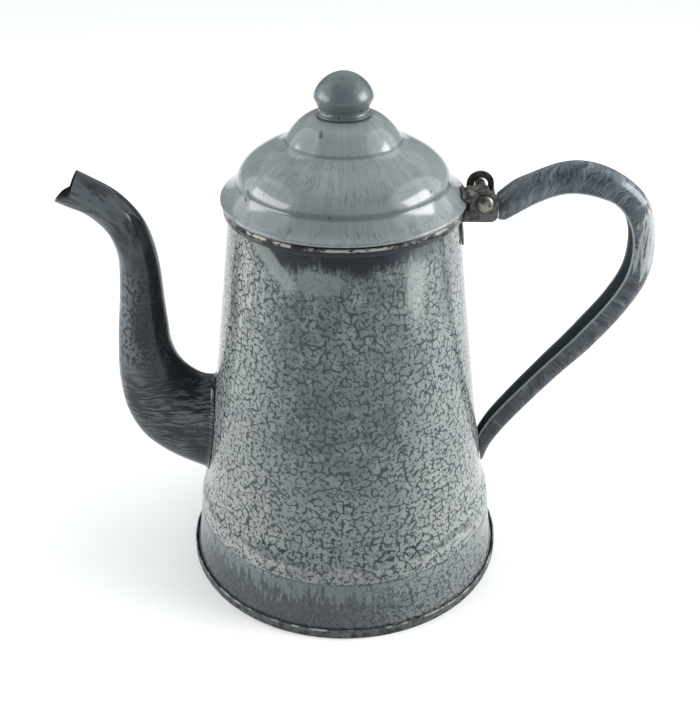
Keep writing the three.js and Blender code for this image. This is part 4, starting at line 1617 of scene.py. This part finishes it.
@dataclass
class Handle:
    """The strap: a pressed channel, open to the inside of the grip, that narrows to its foot.

    Each station gives the crest's way out from the wall and up from the foot as shares, the channel's
    depth as a share, the direction in degrees that its depth goes, and its width as a share. start_x is
    where it begins, close behind the bracket.
    """

    reach: float = 136.5
    top: float = 202.0
    foot: float = 48.5
    depth: float = 12.4
    width: float = 14.6
    lip_width: float = 12.8
    start_x: float = 65.9
    rings: int = 230
    stations: tuple[tuple[float, ...], ...] = (
        (0.17, 0.893, 0.56, 270, 1),
        (0.217, 0.919, 0.95, 273, 1),
        (0.267, 0.942, 1, 276, 1),
        (0.352, 0.965, 0.91, 279, 1),
        (0.47, 0.992, 0.93, 276, 1),
        (0.575, 1, 0.98, 269, 1),
        (0.7, 0.986, 0.96, 256, 1),
        (0.826, 0.948, 0.86, 235, 1),
        (0.921, 0.898, 0.9, 216, 0.98),
        (0.981, 0.827, 0.89, 194, 0.96),
        (1, 0.743, 0.86, 180, 0.95),
        (0.981, 0.646, 0.88, 163, 0.94),
        (0.894, 0.548, 0.88, 149, 0.92),
        (0.72, 0.423, 0.89, 142, 0.87),
        (0.515, 0.311, 0.82, 140, 0.78),
        (0.327, 0.206, 0.8, 142, 0.71),
        (0.181, 0.123, 0.77, 147, 0.66),
        (0.074, 0.052, 0.65, 160, 0.64),
        (0.023, 0, 0.48, 172, 0.62),
    )

    def face(self, depth: float, share: float, inset: float) -> np.ndarray:
        """Draws one face of the channel from lip to lip.

        Args:
            depth: The channel's depth.
            share: Its width as a share of its full width.
            inset: How far under the outer face this one lies.

        Returns:
            Depth and place across of its points.
        """
        half = self.width / 2 * share - inset
        lip = self.lip_width / 2 * share - inset
        crown = min(half, depth - inset - GAP)
        turns = np.linspace(0, math.pi, 29)
        arch = [(inset + crown * (1 - math.sin(t)), half * math.cos(t)) for t in turns]
        down = [(depth + (arch[0][0] - depth) * s, lip + (half - lip) * s) for s in np.linspace(0, 1, 7)[:-1]]
        up = [(d, -y) for d, y in down[::-1]]
        return np.array(down + arch + up)

    def section(self, depth: float, share: float) -> np.ndarray:
        """Draws the channel's outline, outside first, then back inside, with rounded lips.

        Args:
            depth: The channel's depth.
            share: Its width as a share of its full width.

        Returns:
            Depth and place across of its points.
        """
        out, back = self.face(depth, share, 0), self.face(depth, share, SHEET)[::-1]
        proud = np.array([SHEET * 0.35, 0])
        near, far = (out[-1] + back[0]) / 2 + proud, (back[-1] + out[0]) / 2 + proud
        return np.concatenate([out, [near], back, [far]])

    def course(self, vessel: Vessel) -> np.ndarray:
        """Draws the crest's way and the channel's lean along it, from the bracket to the foot.

        Args:
            vessel: What the strap is fixed to.

        Returns:
            A row for each ring: the crest's x and z, the channel's depth, its direction, the share of
            its width, and how far along the strap it lies.
        """
        table = np.array(self.stations, float)
        heights = self.foot + (self.top - self.foot) * table[:, 1]
        base = np.array([vessel.wall_radius(h) + GAP for h in heights])
        places = np.stack([base + (self.reach - base) * table[:, 0], heights], axis=1)
        fine = np.linspace(0, 1, 1200)
        path = smooth_path(places, fine)
        lean = smooth_path(table[:, 2:5] * [self.depth, 1, 1], fine)
        length = np.concatenate([[0], np.cumsum(np.linalg.norm(np.diff(path, axis=0), axis=1))])
        shares = np.linspace(fine[np.argmax(path[:, 0] > self.start_x)], 1, self.rings)
        columns = np.column_stack([path, lean, length]).T
        return np.stack([np.interp(shares, fine, column) for column in columns], axis=1)

    def ring(self, vessel: Vessel, crest: np.ndarray, outline: np.ndarray, degrees: float) -> np.ndarray:
        """Places the channel's outline at its crest, pushed clear of the wall where it would touch.

        Args:
            vessel: What the strap is fixed to.
            crest: The crest's x and z.
            outline: Depth and place across of the outline's points.
            degrees: The direction that its depth goes.

        Returns:
            The ring's points as rows of x, y and z.
        """
        angle = math.radians(degrees)
        flat = crest + outline[:, :1] * np.array([math.cos(angle), math.sin(angle)])
        ring = np.stack([flat[:, 0], outline[:, 1], flat[:, 1]], axis=1)
        radius = np.hypot(ring[:, 0], ring[:, 1])
        least = vessel.radius_at(ring[:, 2]) + GAP
        ring[:, :2] *= np.where(radius < least, least / radius, 1.0)[:, None]
        return ring

    def build(self, vessel: Vessel, enamel: bpy.types.Material) -> None:
        """Builds the strap from the hinge to its foot on the wall.

        Args:
            vessel: What it is fixed to.
            enamel: Its finish.
        """
        rings, lays, rims = [], [], []
        for x, z, depth, degrees, narrow, along in self.course(vessel):
            outline = self.section(depth, narrow)
            rings.append(self.ring(vessel, np.array([x, z]), outline, degrees))
            lays.append(np.stack([outline[:, 1], outline[:, 0], np.full(len(outline), along)], axis=1))
            lip = depth - outline[:, 0]
            lip[len(outline) // 2 + 1 : -1] *= -1
            rims.append(lip)
        notes = {"lay": np.array(lays), "rim": np.array(rims)}
        obj = ring_skin("strap_handle", np.array(rings), False, notes)
        settle(outwards(obj), Body.POT, enamel, ["handle_strap"], crease=50)


@dataclass
class Hinge:
    """The bracket on the wall, the loose pin, and the worn leaf that carries the lid.

    worn_hole and worn_shift are the radius of the far ear's hole and how far it is worn outwards. The
    pin's head is fuller than a round dome where head_fullness is below 1.
    """

    pin_x: float = 59.35
    pin_z: float = 187.1
    pin_radius: float = 2.3
    ear_radius: float = 6.0
    span: float = 23.0
    ear: float = 1.2
    worn_hole: float = 3.0
    worn_shift: float = 0.35
    drop: float = 8.3
    plate_width: float = 18.0
    plate_height: float = 11.8
    plate_thickness: float = 0.8
    head_radius: float = 3.9
    head_height: float = 2.2
    head_fullness: float = 0.8
    leaf_width: float = 12.6
    leaf: float = 0.8
    tab: float = 2.8

    def ear_plate(
        self, vessel: Vessel, low: float, high: float, hole: float, shift: float
    ) -> bpy.types.Object:
        """Makes an ear with its pin hole.

        Args:
            vessel: What the bracket is fixed to.
            low: Where it starts in Y.
            high: Where it ends.
            hole: The hole's radius.
            shift: How far the hole is worn outwards.

        Returns:
            The ear.
        """
        bottom, rear = self.pin_z - self.drop, self.pin_x + self.ear_radius
        start, bead = vessel.neck_radius - OVERRUN, vessel.bead[1]
        outline = [(start, bottom), (rear, bottom)]
        outline += arc((self.pin_x, self.pin_z), self.ear_radius, 0, 180, 32)
        outline += [(self.pin_x - self.ear_radius, bead), (start, bead)]
        solid = plate(outline, low, high)
        drill = bar(hole, low - OVERRUN, high + OVERRUN, (self.pin_x + shift, self.pin_z))
        return combine(solid, Cut.TAKE, drill)

    def bracket(self, vessel: Vessel) -> bpy.types.Object:
        """Builds the bracket: back plate on the wall, two ears, floor and rear web.

        Args:
            vessel: What it is fixed to.

        Returns:
            The bracket.
        """
        half, inner = self.span / 2, self.span / 2 - self.ear
        bottom, rear = self.pin_z - self.drop, self.pin_x + self.ear_radius
        start = vessel.neck_radius - OVERRUN
        skirt = vessel.bead[1] - vessel.bead_skirt - GAP
        back = vessel.keep_out(GAP + self.plate_thickness)
        side = self.plate_width / 2
        sector = block((0, -side, bottom - self.plate_height), (self.pin_x, side, skirt))
        combine(back, Cut.SHARE, sector)
        near = self.ear_plate(vessel, -half, -inner, self.pin_radius + GAP, 0)
        far = self.ear_plate(vessel, inner, half, self.worn_hole, self.worn_shift)
        web = block((rear - self.ear, -half, bottom), (rear, half, self.pin_z - self.ear))
        floor = block((start, -half, bottom), (rear, half, bottom + self.ear))
        solid = combine(near, Cut.JOIN, far, web, floor, back)
        # The corner's cutter is short below, to stay clear of the back plate.
        bent, past = self.ear_radius / 2, OVERRUN / 4
        corner = block((rear - bent, -half - past, bottom - past), (rear + past, half + past, bottom + bent))
        rounding = bar(bent, -half - 2 * past, half + 2 * past, (rear - bent, bottom + bent))
        combine(corner, Cut.TAKE, rounding)
        combine(solid, Cut.TAKE, vessel.keep_out(GAP), corner)
        return named(softened(solid, width=0.22), "bracket")

    def pin(self, finish: bpy.types.Material) -> bpy.types.Object:
        """Builds the pin along Y, its domed head on the near side.

        Args:
            finish: Its material.

        Returns:
            The pin.
        """
        face, end = self.span / 2 + GAP, self.span / 2 + 2 * GAP
        dome = [(self.head_radius * math.sin(a), face + self.head_height * math.cos(a) ** self.head_fullness)
                for a in np.linspace(0, math.pi / 2, 14)]
        shank = [(self.pin_radius, face), (self.pin_radius, GAP - end), (self.pin_radius - GAP, -end)]
        line = [*dome, *shank, (0, -end)]
        obj = lathe("hinge_pin_rod", np.array(line), 48, finish)
        lay_down = Matrix.Rotation(math.pi / 2, 4, "X")
        obj.data.transform(Matrix.Translation((self.pin_x * MM, 0, self.pin_z * MM)) @ lay_down)
        return obj

    def leaf_solid(self, lid: Lid) -> bpy.types.Object:
        """Builds the leaf: knuckle round the pin, web, and tab on the lid's flange.

        Args:
            lid: What it carries.

        Returns:
            The leaf.
        """
        near = GAP - (self.span / 2 - self.ear)
        far = near + self.leaf_width
        bore = self.pin_radius + GAP
        rolled = bore + self.leaf
        axis = (self.pin_x, self.pin_z)
        solid = bar(rolled, near, far, axis)
        edge = lid.edge + lid.edge_height
        web = [(self.pin_x, self.pin_z + bore), (self.pin_x, self.pin_z + rolled)]
        web += [(lid.radius, self.pin_z + bore), (lid.radius - self.tab, edge), (lid.radius, edge)]
        tab = lid.keep_out(GAP + self.leaf)
        sector = block((lid.radius - self.tab, near, edge), (lid.radius + self.leaf, far, lid.seat))
        combine(tab, Cut.SHARE, sector)
        combine(solid, Cut.JOIN, plate(web, near, far), tab)
        combine(solid, Cut.TAKE, bar(bore, near - OVERRUN, far + OVERRUN, axis), lid.keep_out(GAP))
        return named(softened(solid, width=0.18, segments=2), "leaf")

    def build(self, vessel: Vessel, lid: Lid, black: bpy.types.Material, pin: bpy.types.Material,
              worn: bpy.types.Material) -> None:
        """Builds the hinge.

        Args:
            vessel: What the bracket is fixed to.
            lid: What the leaf carries.
            black: The bracket's finish.
            pin: The pin's finish.
            worn: The leaf's finish.
        """
        settle(self.bracket(vessel), Body.POT, black, ["hinge_bracket"], crease=35)
        settle(self.pin(pin), Body.POT, pin, ["hinge_pin"])
        settle(self.leaf_solid(lid), Body.LID, worn, ["lid_leaf"], crease=35)


@dataclass
class Knob:
    """The lid's knob, a neck under a flattened dome, and its rivet. Heights are over the knob's seat.

    foot, neck, under and bore are a radius and a height each, head the rivet's head radius and height.
    dome_shares are how far out and up the dome's side goes, and how wide its top is.
    """

    radius: float = 12.45
    height: float = 17.59
    widest: float = 7.2
    seat_radius: float = 11.3
    foot: tuple[float, float] = (11.6, 0.8)
    neck: tuple[float, float] = (10.2, 2.5)
    under: tuple[float, float] = (11.6, 5.2)
    bore: tuple[float, float] = (2.0, 8.9)
    dome_shares: tuple[float, float, float] = (0.985, 0.43, 0.52)
    head: tuple[float, float] = (4.2, 1.6)
    shank: tuple[float, float] = (1.7, 8.6)
    segments: int = 112

    def shell(self, seat: float, enamel: bpy.types.Material) -> bpy.types.Object:
        """Builds the knob.

        Args:
            seat: The height it sits at.
            enamel: Its finish.

        Returns:
            The knob.
        """
        up, top = np.array([0, seat]), seat + self.height
        foot, neck, under, bore = (np.array(p) + up for p in (self.foot, self.neck, self.under, self.bore))
        out, rise, flat = self.dome_shares
        widest = np.array([self.radius, seat + self.widest])
        side = np.array([self.radius * out, widest[1] + rise * (top - widest[1])])
        crown = np.array([self.radius * flat, top])
        shares = np.linspace(0, 1, 40)[1:, None]
        dome = ((1 - shares) ** 3 * widest + 3 * shares * (1 - shares) ** 2 * side
                + 3 * shares**2 * (1 - shares) * crown + shares**3 * np.array([0, top]))
        outside = [(self.seat_radius, seat), foot, *bend(foot, (neck[0], foot[1]), neck, 8), under, widest]
        hollow = [(0, bore[1]), bore, (bore[0], seat)]
        profile = np.concatenate([hollow, eased(outside, step=0.25, softness=0.35), dome])
        return lathe("lid_knob", profile, self.segments, enamel)

    def rivet(self, seat: float, finish: bpy.types.Material) -> bpy.types.Object:
        """Builds the rivet that holds the knob, its head inside the dome.

        Args:
            seat: The height of the dome's outside under the knob.
            finish: Its material.

        Returns:
            The rivet.
        """
        under, top = seat - SHEET - GAP, seat + GAP + self.shank[1]
        low = under - self.head[1]
        rounded = bend((0, low), (self.head[0] - GAP, low), (self.head[0], under - GAP), 10)
        stem = [(self.shank[0], under), (self.shank[0], top), (0, top)]
        line = [(0, low), *rounded, (self.head[0], under), *stem]
        return lathe("knob_rivet_steel", np.array(line), 40, finish)


@dataclass
class Lid:
    """The stepped dome with its collar and its knob.

    crease, ledge_outer, ledge_inner and seat_edge are a radius and a height over the edge each.
    """

    radius: float = 53.1
    edge: float = 186.1
    edge_height: float = 0.8
    crease: tuple[float, float] = (45.5, 8.3)
    ledge_outer: tuple[float, float] = (30.9, 21.5)
    ledge_inner: tuple[float, float] = (24.5, 25.7)
    seat_edge: tuple[float, float] = (12.4, 35.6)
    collar_outside: float = 47.9
    collar_depth: float = 8.2
    knob: Knob = field(default_factory=Knob)
    segments: int = 192

    @property
    def seat(self) -> float:
        """Gives the height of the flat under the knob."""
        return self.edge + self.seat_edge[1]

    def face_line(self) -> np.ndarray:
        """Draws the dome's outside from its edge up to the knob's seat.

        Returns:
            Radius and height of its points.
        """
        up = np.array([0, self.edge])
        edge = np.array([self.radius, self.edge + self.edge_height])
        marks = self.crease, self.ledge_outer, self.ledge_inner, self.seat_edge
        crease, outer, inner, top = (np.array(mark) + up for mark in marks)
        line = [(self.radius, self.edge), edge]
        line += bend(edge, part_way(edge, crease, (0.6, 0.36)), crease)
        line += bend(crease, part_way(crease, outer, (0.06, 0.57)), outer, 24)
        line += bend(outer, part_way(outer, inner, (0.58, 0.33)), inner)
        line += bend(inner, part_way(inner, top, (0.5, 0.95)), top, 24)
        line += [(2.0, self.seat)]
        return eased(line, step=0.4, softness=0.32)

    def keep_out(self, clearance: float) -> bpy.types.Object:
        """Makes the space under the lid's outside.

        Args:
            clearance: How much that space is grown.

        Returns:
            The solid.
        """
        line = offset(self.face_line(), -clearance)
        low = self.edge - OVERRUN
        profile = [(0, low), (line[0, 0], low), *line[1:], (0, self.seat + clearance)]
        return lathe("lid_keep_out", np.array(profile), self.segments, None)

    def collar(self, enamel: bpy.types.Material) -> bpy.types.Object:
        """Builds the short skirt that drops into the mouth.

        Args:
            enamel: Its finish.

        Returns:
            The collar.
        """
        under = offset(self.face_line(), SHEET)
        out, inside = self.collar_outside, self.collar_outside - SHEET
        tops = [np.interp(-r, -under[:, 0], under[:, 1]) - GAP for r in (out, inside)]
        low = self.edge - self.collar_depth
        line = spaced([(out, low), (out, tops[0])], 1.0)
        back = spaced([(inside, tops[1]), (inside, low)], 1.0)
        return lathe("lid_skirt", np.concatenate([line, back, [line[0]]]), self.segments, enamel)

    def build(self, enamel: bpy.types.Material, knob: bpy.types.Material, steel: bpy.types.Material) -> None:
        """Builds the lid's pieces.

        Args:
            enamel: The dome's finish.
            knob: The knob's finish.
            steel: The rivet's finish.
        """
        dome = lathe("lid_dome", sheet_profile(self.face_line(), SHEET), self.segments, enamel)
        settle(dome, Body.LID, enamel, ["lid_shell"])
        settle(self.collar(enamel), Body.LID, enamel, ["lid_collar"])
        settle(self.knob.shell(self.seat + GAP, knob), Body.LID, knob, ["knob"])
        settle(self.knob.rivet(self.seat, steel), Body.LID, steel, ["knob_rivet"])


# ---------------------------------------------------------------- studio


@dataclass(frozen=True)
class SoftBox:
    """A soft light: where it stands, what it looks at, its size and its power."""

    name: str
    place: tuple[float, float, float]
    size: tuple[float, float]
    watts: float
    target: tuple[float, float, float] = (0.0, 0.0, 0.1)

    def build(self) -> None:
        """Places the light."""
        data = bpy.data.lights.new(self.name, "AREA")
        data.shape = "RECTANGLE"
        data.size, data.size_y = self.size
        data.energy = self.watts
        lamp = bpy.data.objects.new(self.name, data)
        lamp.location = self.place
        aim = Vector(self.target) - Vector(self.place)
        lamp.rotation_euler = aim.to_track_quat("-Z", "Y").to_euler()
        bpy.context.scene.collection.objects.link(lamp)


@dataclass(frozen=True)
class Glow:
    """Soft light from far away, as from a wide white wall.

    heading is where it comes from in degrees, 0 at the camera's side and 90 at the right, height how
    far above the horizon, spread how wide it looks, and strength what it gives a face square to it.
    """

    name: str
    heading: float
    height: float
    spread: float
    strength: float

    def build(self) -> None:
        """Places the light."""
        data = bpy.data.lights.new(self.name, "SUN")
        data.energy, data.angle = self.strength, math.radians(self.spread)
        lamp = bpy.data.objects.new(self.name, data)
        turn, rise = math.radians(self.heading), math.radians(self.height)
        source = Vector((math.sin(turn) * math.cos(rise), -math.cos(turn) * math.cos(rise), math.sin(rise)))
        lamp.rotation_euler = source.to_track_quat("Z", "Y").to_euler()
        bpy.context.scene.collection.objects.link(lamp)


@dataclass
class Studio:
    """A pale floor, soft lights and the camera at the photograph's angle.

    The camera's place is in millimetres and its turn in degrees. film is its sensor's height, in
    millimetres too, and floor_size is in metres.
    """

    camera_place: tuple[float, float, float] = (6.13, -441.85, 369.0)
    camera_turn: tuple[float, float, float] = (59.07, 0.0, 1.16)
    focal_pixels: float = 1100.0
    film: float = 36.0
    floor_size: float = 6.0
    air: str = "c9d0d4"
    air_strength: float = 0.45
    paper: str = "f4f4f4"
    boxes: tuple[SoftBox, ...] = (
        SoftBox("left_window", (-0.85, -0.1, 0.42), (0.8, 0.36), 5.2),
        SoftBox("right_window", (0.9, -0.05, 0.5), (0.6, 0.44), 9.0),
    )
    glows: tuple[Glow, ...] = (
        Glow("left_glow", -95.0, 20.0, 70.0, 1.6),
        Glow("right_glow", 95.0, 22.0, 70.0, 1.8),
        Glow("back_glow", 180.0, 60.0, 85.0, 1.0),
    )

    def fill_air(self) -> None:
        """Lights everything faintly from all around."""
        world = bpy.data.worlds.new("studio_air")
        world.use_nodes = True
        sky = world.node_tree.nodes["Background"]
        sky.inputs["Color"].default_value = linear(self.air)
        sky.inputs["Strength"].default_value = self.air_strength
        bpy.context.scene.world = world

    def lay_table(self) -> None:
        """Lays the floor of white paper."""
        half = self.floor_size / 2
        mesh = bpy.data.meshes.new("table")
        corners = [(-half, -half, 0), (half, -half, 0), (half, half, 0), (-half, half, 0)]
        mesh.from_pydata(corners, [], [(0, 1, 2, 3)])
        table = bpy.data.objects.new("table", mesh)
        bpy.context.scene.collection.objects.link(table)
        paper = bpy.data.materials.new("white_paper")
        paper.use_nodes = True
        shader = paper.node_tree.nodes["Principled BSDF"]
        shader.inputs["Base Color"].default_value = linear(self.paper)
        shader.inputs["Roughness"].default_value = 0.9
        mesh.materials.append(paper)

    def place_camera(self) -> None:
        """Places the camera where the photograph was taken from."""
        data = bpy.data.cameras.new("camera")
        data.sensor_fit = "VERTICAL"
        data.sensor_height = self.film
        data.lens = self.focal_pixels / PHOTO_HEIGHT * self.film
        camera = bpy.data.objects.new("camera", data)
        camera.location = Vector(self.camera_place) * MM
        camera.rotation_euler = [math.radians(a) for a in self.camera_turn]
        bpy.context.scene.collection.objects.link(camera)
        bpy.context.scene.camera = camera

    def build(self) -> None:
        """Builds the studio."""
        bpy.context.scene.view_settings.view_transform = "Standard"
        self.fill_air()
        self.lay_table()
        for light in (*self.boxes, *self.glows):
            light.build()
        self.place_camera()


# ---------------------------------------------------------------- the pot's own finishes and order


# Mottled vitreous enamel, dipped and fired on sheet steel. It is glass, so it shines softly. Salts in the
# slip draw its short crooked lines, it gathers in dark runs under the rim and in drips over the foot, and
# the rolled rim is rubbed through to the steel. A patch's numbers after its colour are its strength, how
# ragged it is, its grain, how soft it is and how tall.
WALL = WallEnamel(
    "mottled_vitreous_enamel",
    ground="616a6b",
    shade="545c5f",
    lines="30393d",
    cell=3.7,
    width=0.88,
    mirror=0.28,
    patches=(
        # Down from the neck: a painted highlight streak with a painted dark reflection beside it, and a
        # painted dark reflection band at the left.
        Patch((30.5, -42.0, 168.0), (4.0, 12.0, 20.0), "b4bcb6", 0.36, 0.3, 4.0, 0.8, 5.0),
        Patch((43.5, -30.0, 168.0), (5.0, 12.0, 26.0), "525b61", 0.4, 0.3, 6.0, 0.8, 4.0),
        Patch((-46.5, -23.0, 150.0), (2.4, 8.0, 40.0), "41484b", 0.35, 0.3, 4.0, 0.8, 6.0),
        # The dark runs under the rim.
        Patch((-24.0, -46.0, 184.5), (16.0, 20.0, 12.5), "151d24", 1.0, 0.45, 2.2, 0.6, 5.0),
        Patch((9.0, -52.0, 184.5), (26.0, 22.0, 12.0), "0f1922", 1.0, 0.4, 2.6, 0.5, 4.0),
        Patch((34.0, -40.0, 184.5), (15.0, 20.0, 11.0), "29343c", 0.7, 0.4, 2.6, 0.7, 4.0),
        # A pale run that slants across them, and the grey cloud under its end.
        Patch((-36.0, -38.5, 182.0), (3.2, 8.0, 3.2), "88918f", 0.6, 0.4, 3.0, 0.6, 2.0,
              end=(-21.0, -47.5, 166.0)),
        Patch((-9.0, -51.5, 168.5), (10.0, 20.0, 5.4), "6d7678", 0.7, 0.5, 4.0, 0.5),
    ),
)
# Vitreous enamel on the spun dome: smoother and paler than the wall, with fine streaks that run outwards
# and a few specks where it has chipped to the dark ground coat.
LID_DOME = LidEnamel(
    "combed_vitreous_enamel",
    ground="777e7f",
    shade="6e7678",
    lines="3c464b",
    patches=(
        # A chip on the crown and three pinholes on the shoulder.
        Patch((-8.6, -14.8, 217.5), (1.3, 3.0, 2.4), "3f474b", 0.8, 0.5, 1.6, 0.4),
        Patch((-38.5, -23.5, 196.5), (0.7, 3.0, 0.9), "23282b", 0.9, 0.5, 1.0, 0.4),
        Patch((-39.6, -24.5, 193.4), (0.6, 3.0, 0.7), "23282b", 0.9, 0.5, 1.0, 0.4),
        Patch((35.6, -26.5, 198.0), (0.7, 3.0, 0.8), "23282b", 0.9, 0.5, 1.0, 0.4),
    ),
)
# Vitreous enamel that drained along the dipped spout: dark slate, banded like fur at the root, flecked
# half way up and nearly black behind.
SLATE_SPOUT = SpoutEnamel(
    "slate_vitreous_enamel_spout",
    ground="32383c",
    shade="292f34",
    lines="161b1f",
    mirror=0.3,
    patches=(
        # A whitish chip under the beak.
        Patch((-108.0, -14.0, 173.0), (0.8, 4.0, 2.2), "c9cdcb", 0.9, 0.3, 1.5, 0.4),
    ),
)
# The same slate enamel on the pressed strap: slanting bands, a thin pale line of painted highlight along the
# lips, and whitish over the bend, rubbed where a hand or a hook wears it and partly a painted highlight.
SLATE_STRAP = RunEnamel(
    "slate_vitreous_enamel_strap",
    ground="59636a",
    shade="495259",
    lines="272e33",
    mirror=0.3,
    edge="98a1a5",
    inside="6d767c",
    lip=(0.0, 0.25, 0.4),
    patches=(
        # Rubbed faintly at the top, and whitish over the bend: wear, and partly a painted highlight.
        Patch((74.0, -5.0, 190.0), (15.0, 9.0, 12.0), "9aa3a8", 0.12, 1.2, 2.0, 0.4),
        Patch((131.5, -1.0, 168.0), (6.0, 8.0, 18.0), "c6cac8", 0.55, 1.1, 1.0, 0.5, 9.0),
    ),
)
# Plain grey vitreous enamel, dulled a little by fingers, so its highlight is soft.
KNOB = Enamel("grey_vitreous_enamel_knob", ground="565e62", shade="4b5357", lines="2f363a", roughness=0.27)
# Black enamel on the folded seam, which drags over tables: mostly rubbed off, so dull and patchy, with its
# upper edge pale from wear and partly from a painted highlight.
SEAM = Steel(
    "worn_black_enamel_on_seam",
    bright="4c4e4e",
    dull="1d2124",
    rust="101213",
    metallic=0.2,
    worn_sheen_at=4.5,
)
# Black enamel on the folded bracket: satin, chipped grey on its edges, no bare metal.
BLACK = Steel(
    "black_enamelled_bracket",
    bright="4b4b48",
    dull="1e2123",
    rust="0f1112",
    metallic=0.0,
    roughness=0.3,
    grain=2.4,
)
# Tinned sheet steel, its tin worn off: metal with a broken grey shine and brown stains.
WORN = Steel("worn_tinned_steel", bright="7d7a73", dull="3d3b38", rust="2b2622")
# Drawn steel rod that has browned with age: darker, even metal.
PIN = Steel("browned_steel", bright="7f7c74", dull="4c4a45", rust="332e29")


def main() -> None:
    """Builds the pot in order."""
    logging.basicConfig(level=logging.INFO, format="%(name)s: %(message)s")
    worn, pin = WORN.build(), PIN.build()
    vessel, lid = Vessel(), Lid()
    vessel.build(WALL.build(), SEAM.build(), worn)
    Spout().build(vessel, SLATE_SPOUT.build())
    Handle().build(vessel, SLATE_STRAP.build())
    lid.build(LID_DOME.build(), KNOB.build(), pin)
    Hinge().build(vessel, lid, BLACK.build(), pin, worn)
    Studio().build()


if __name__ == "__main__":
    main()
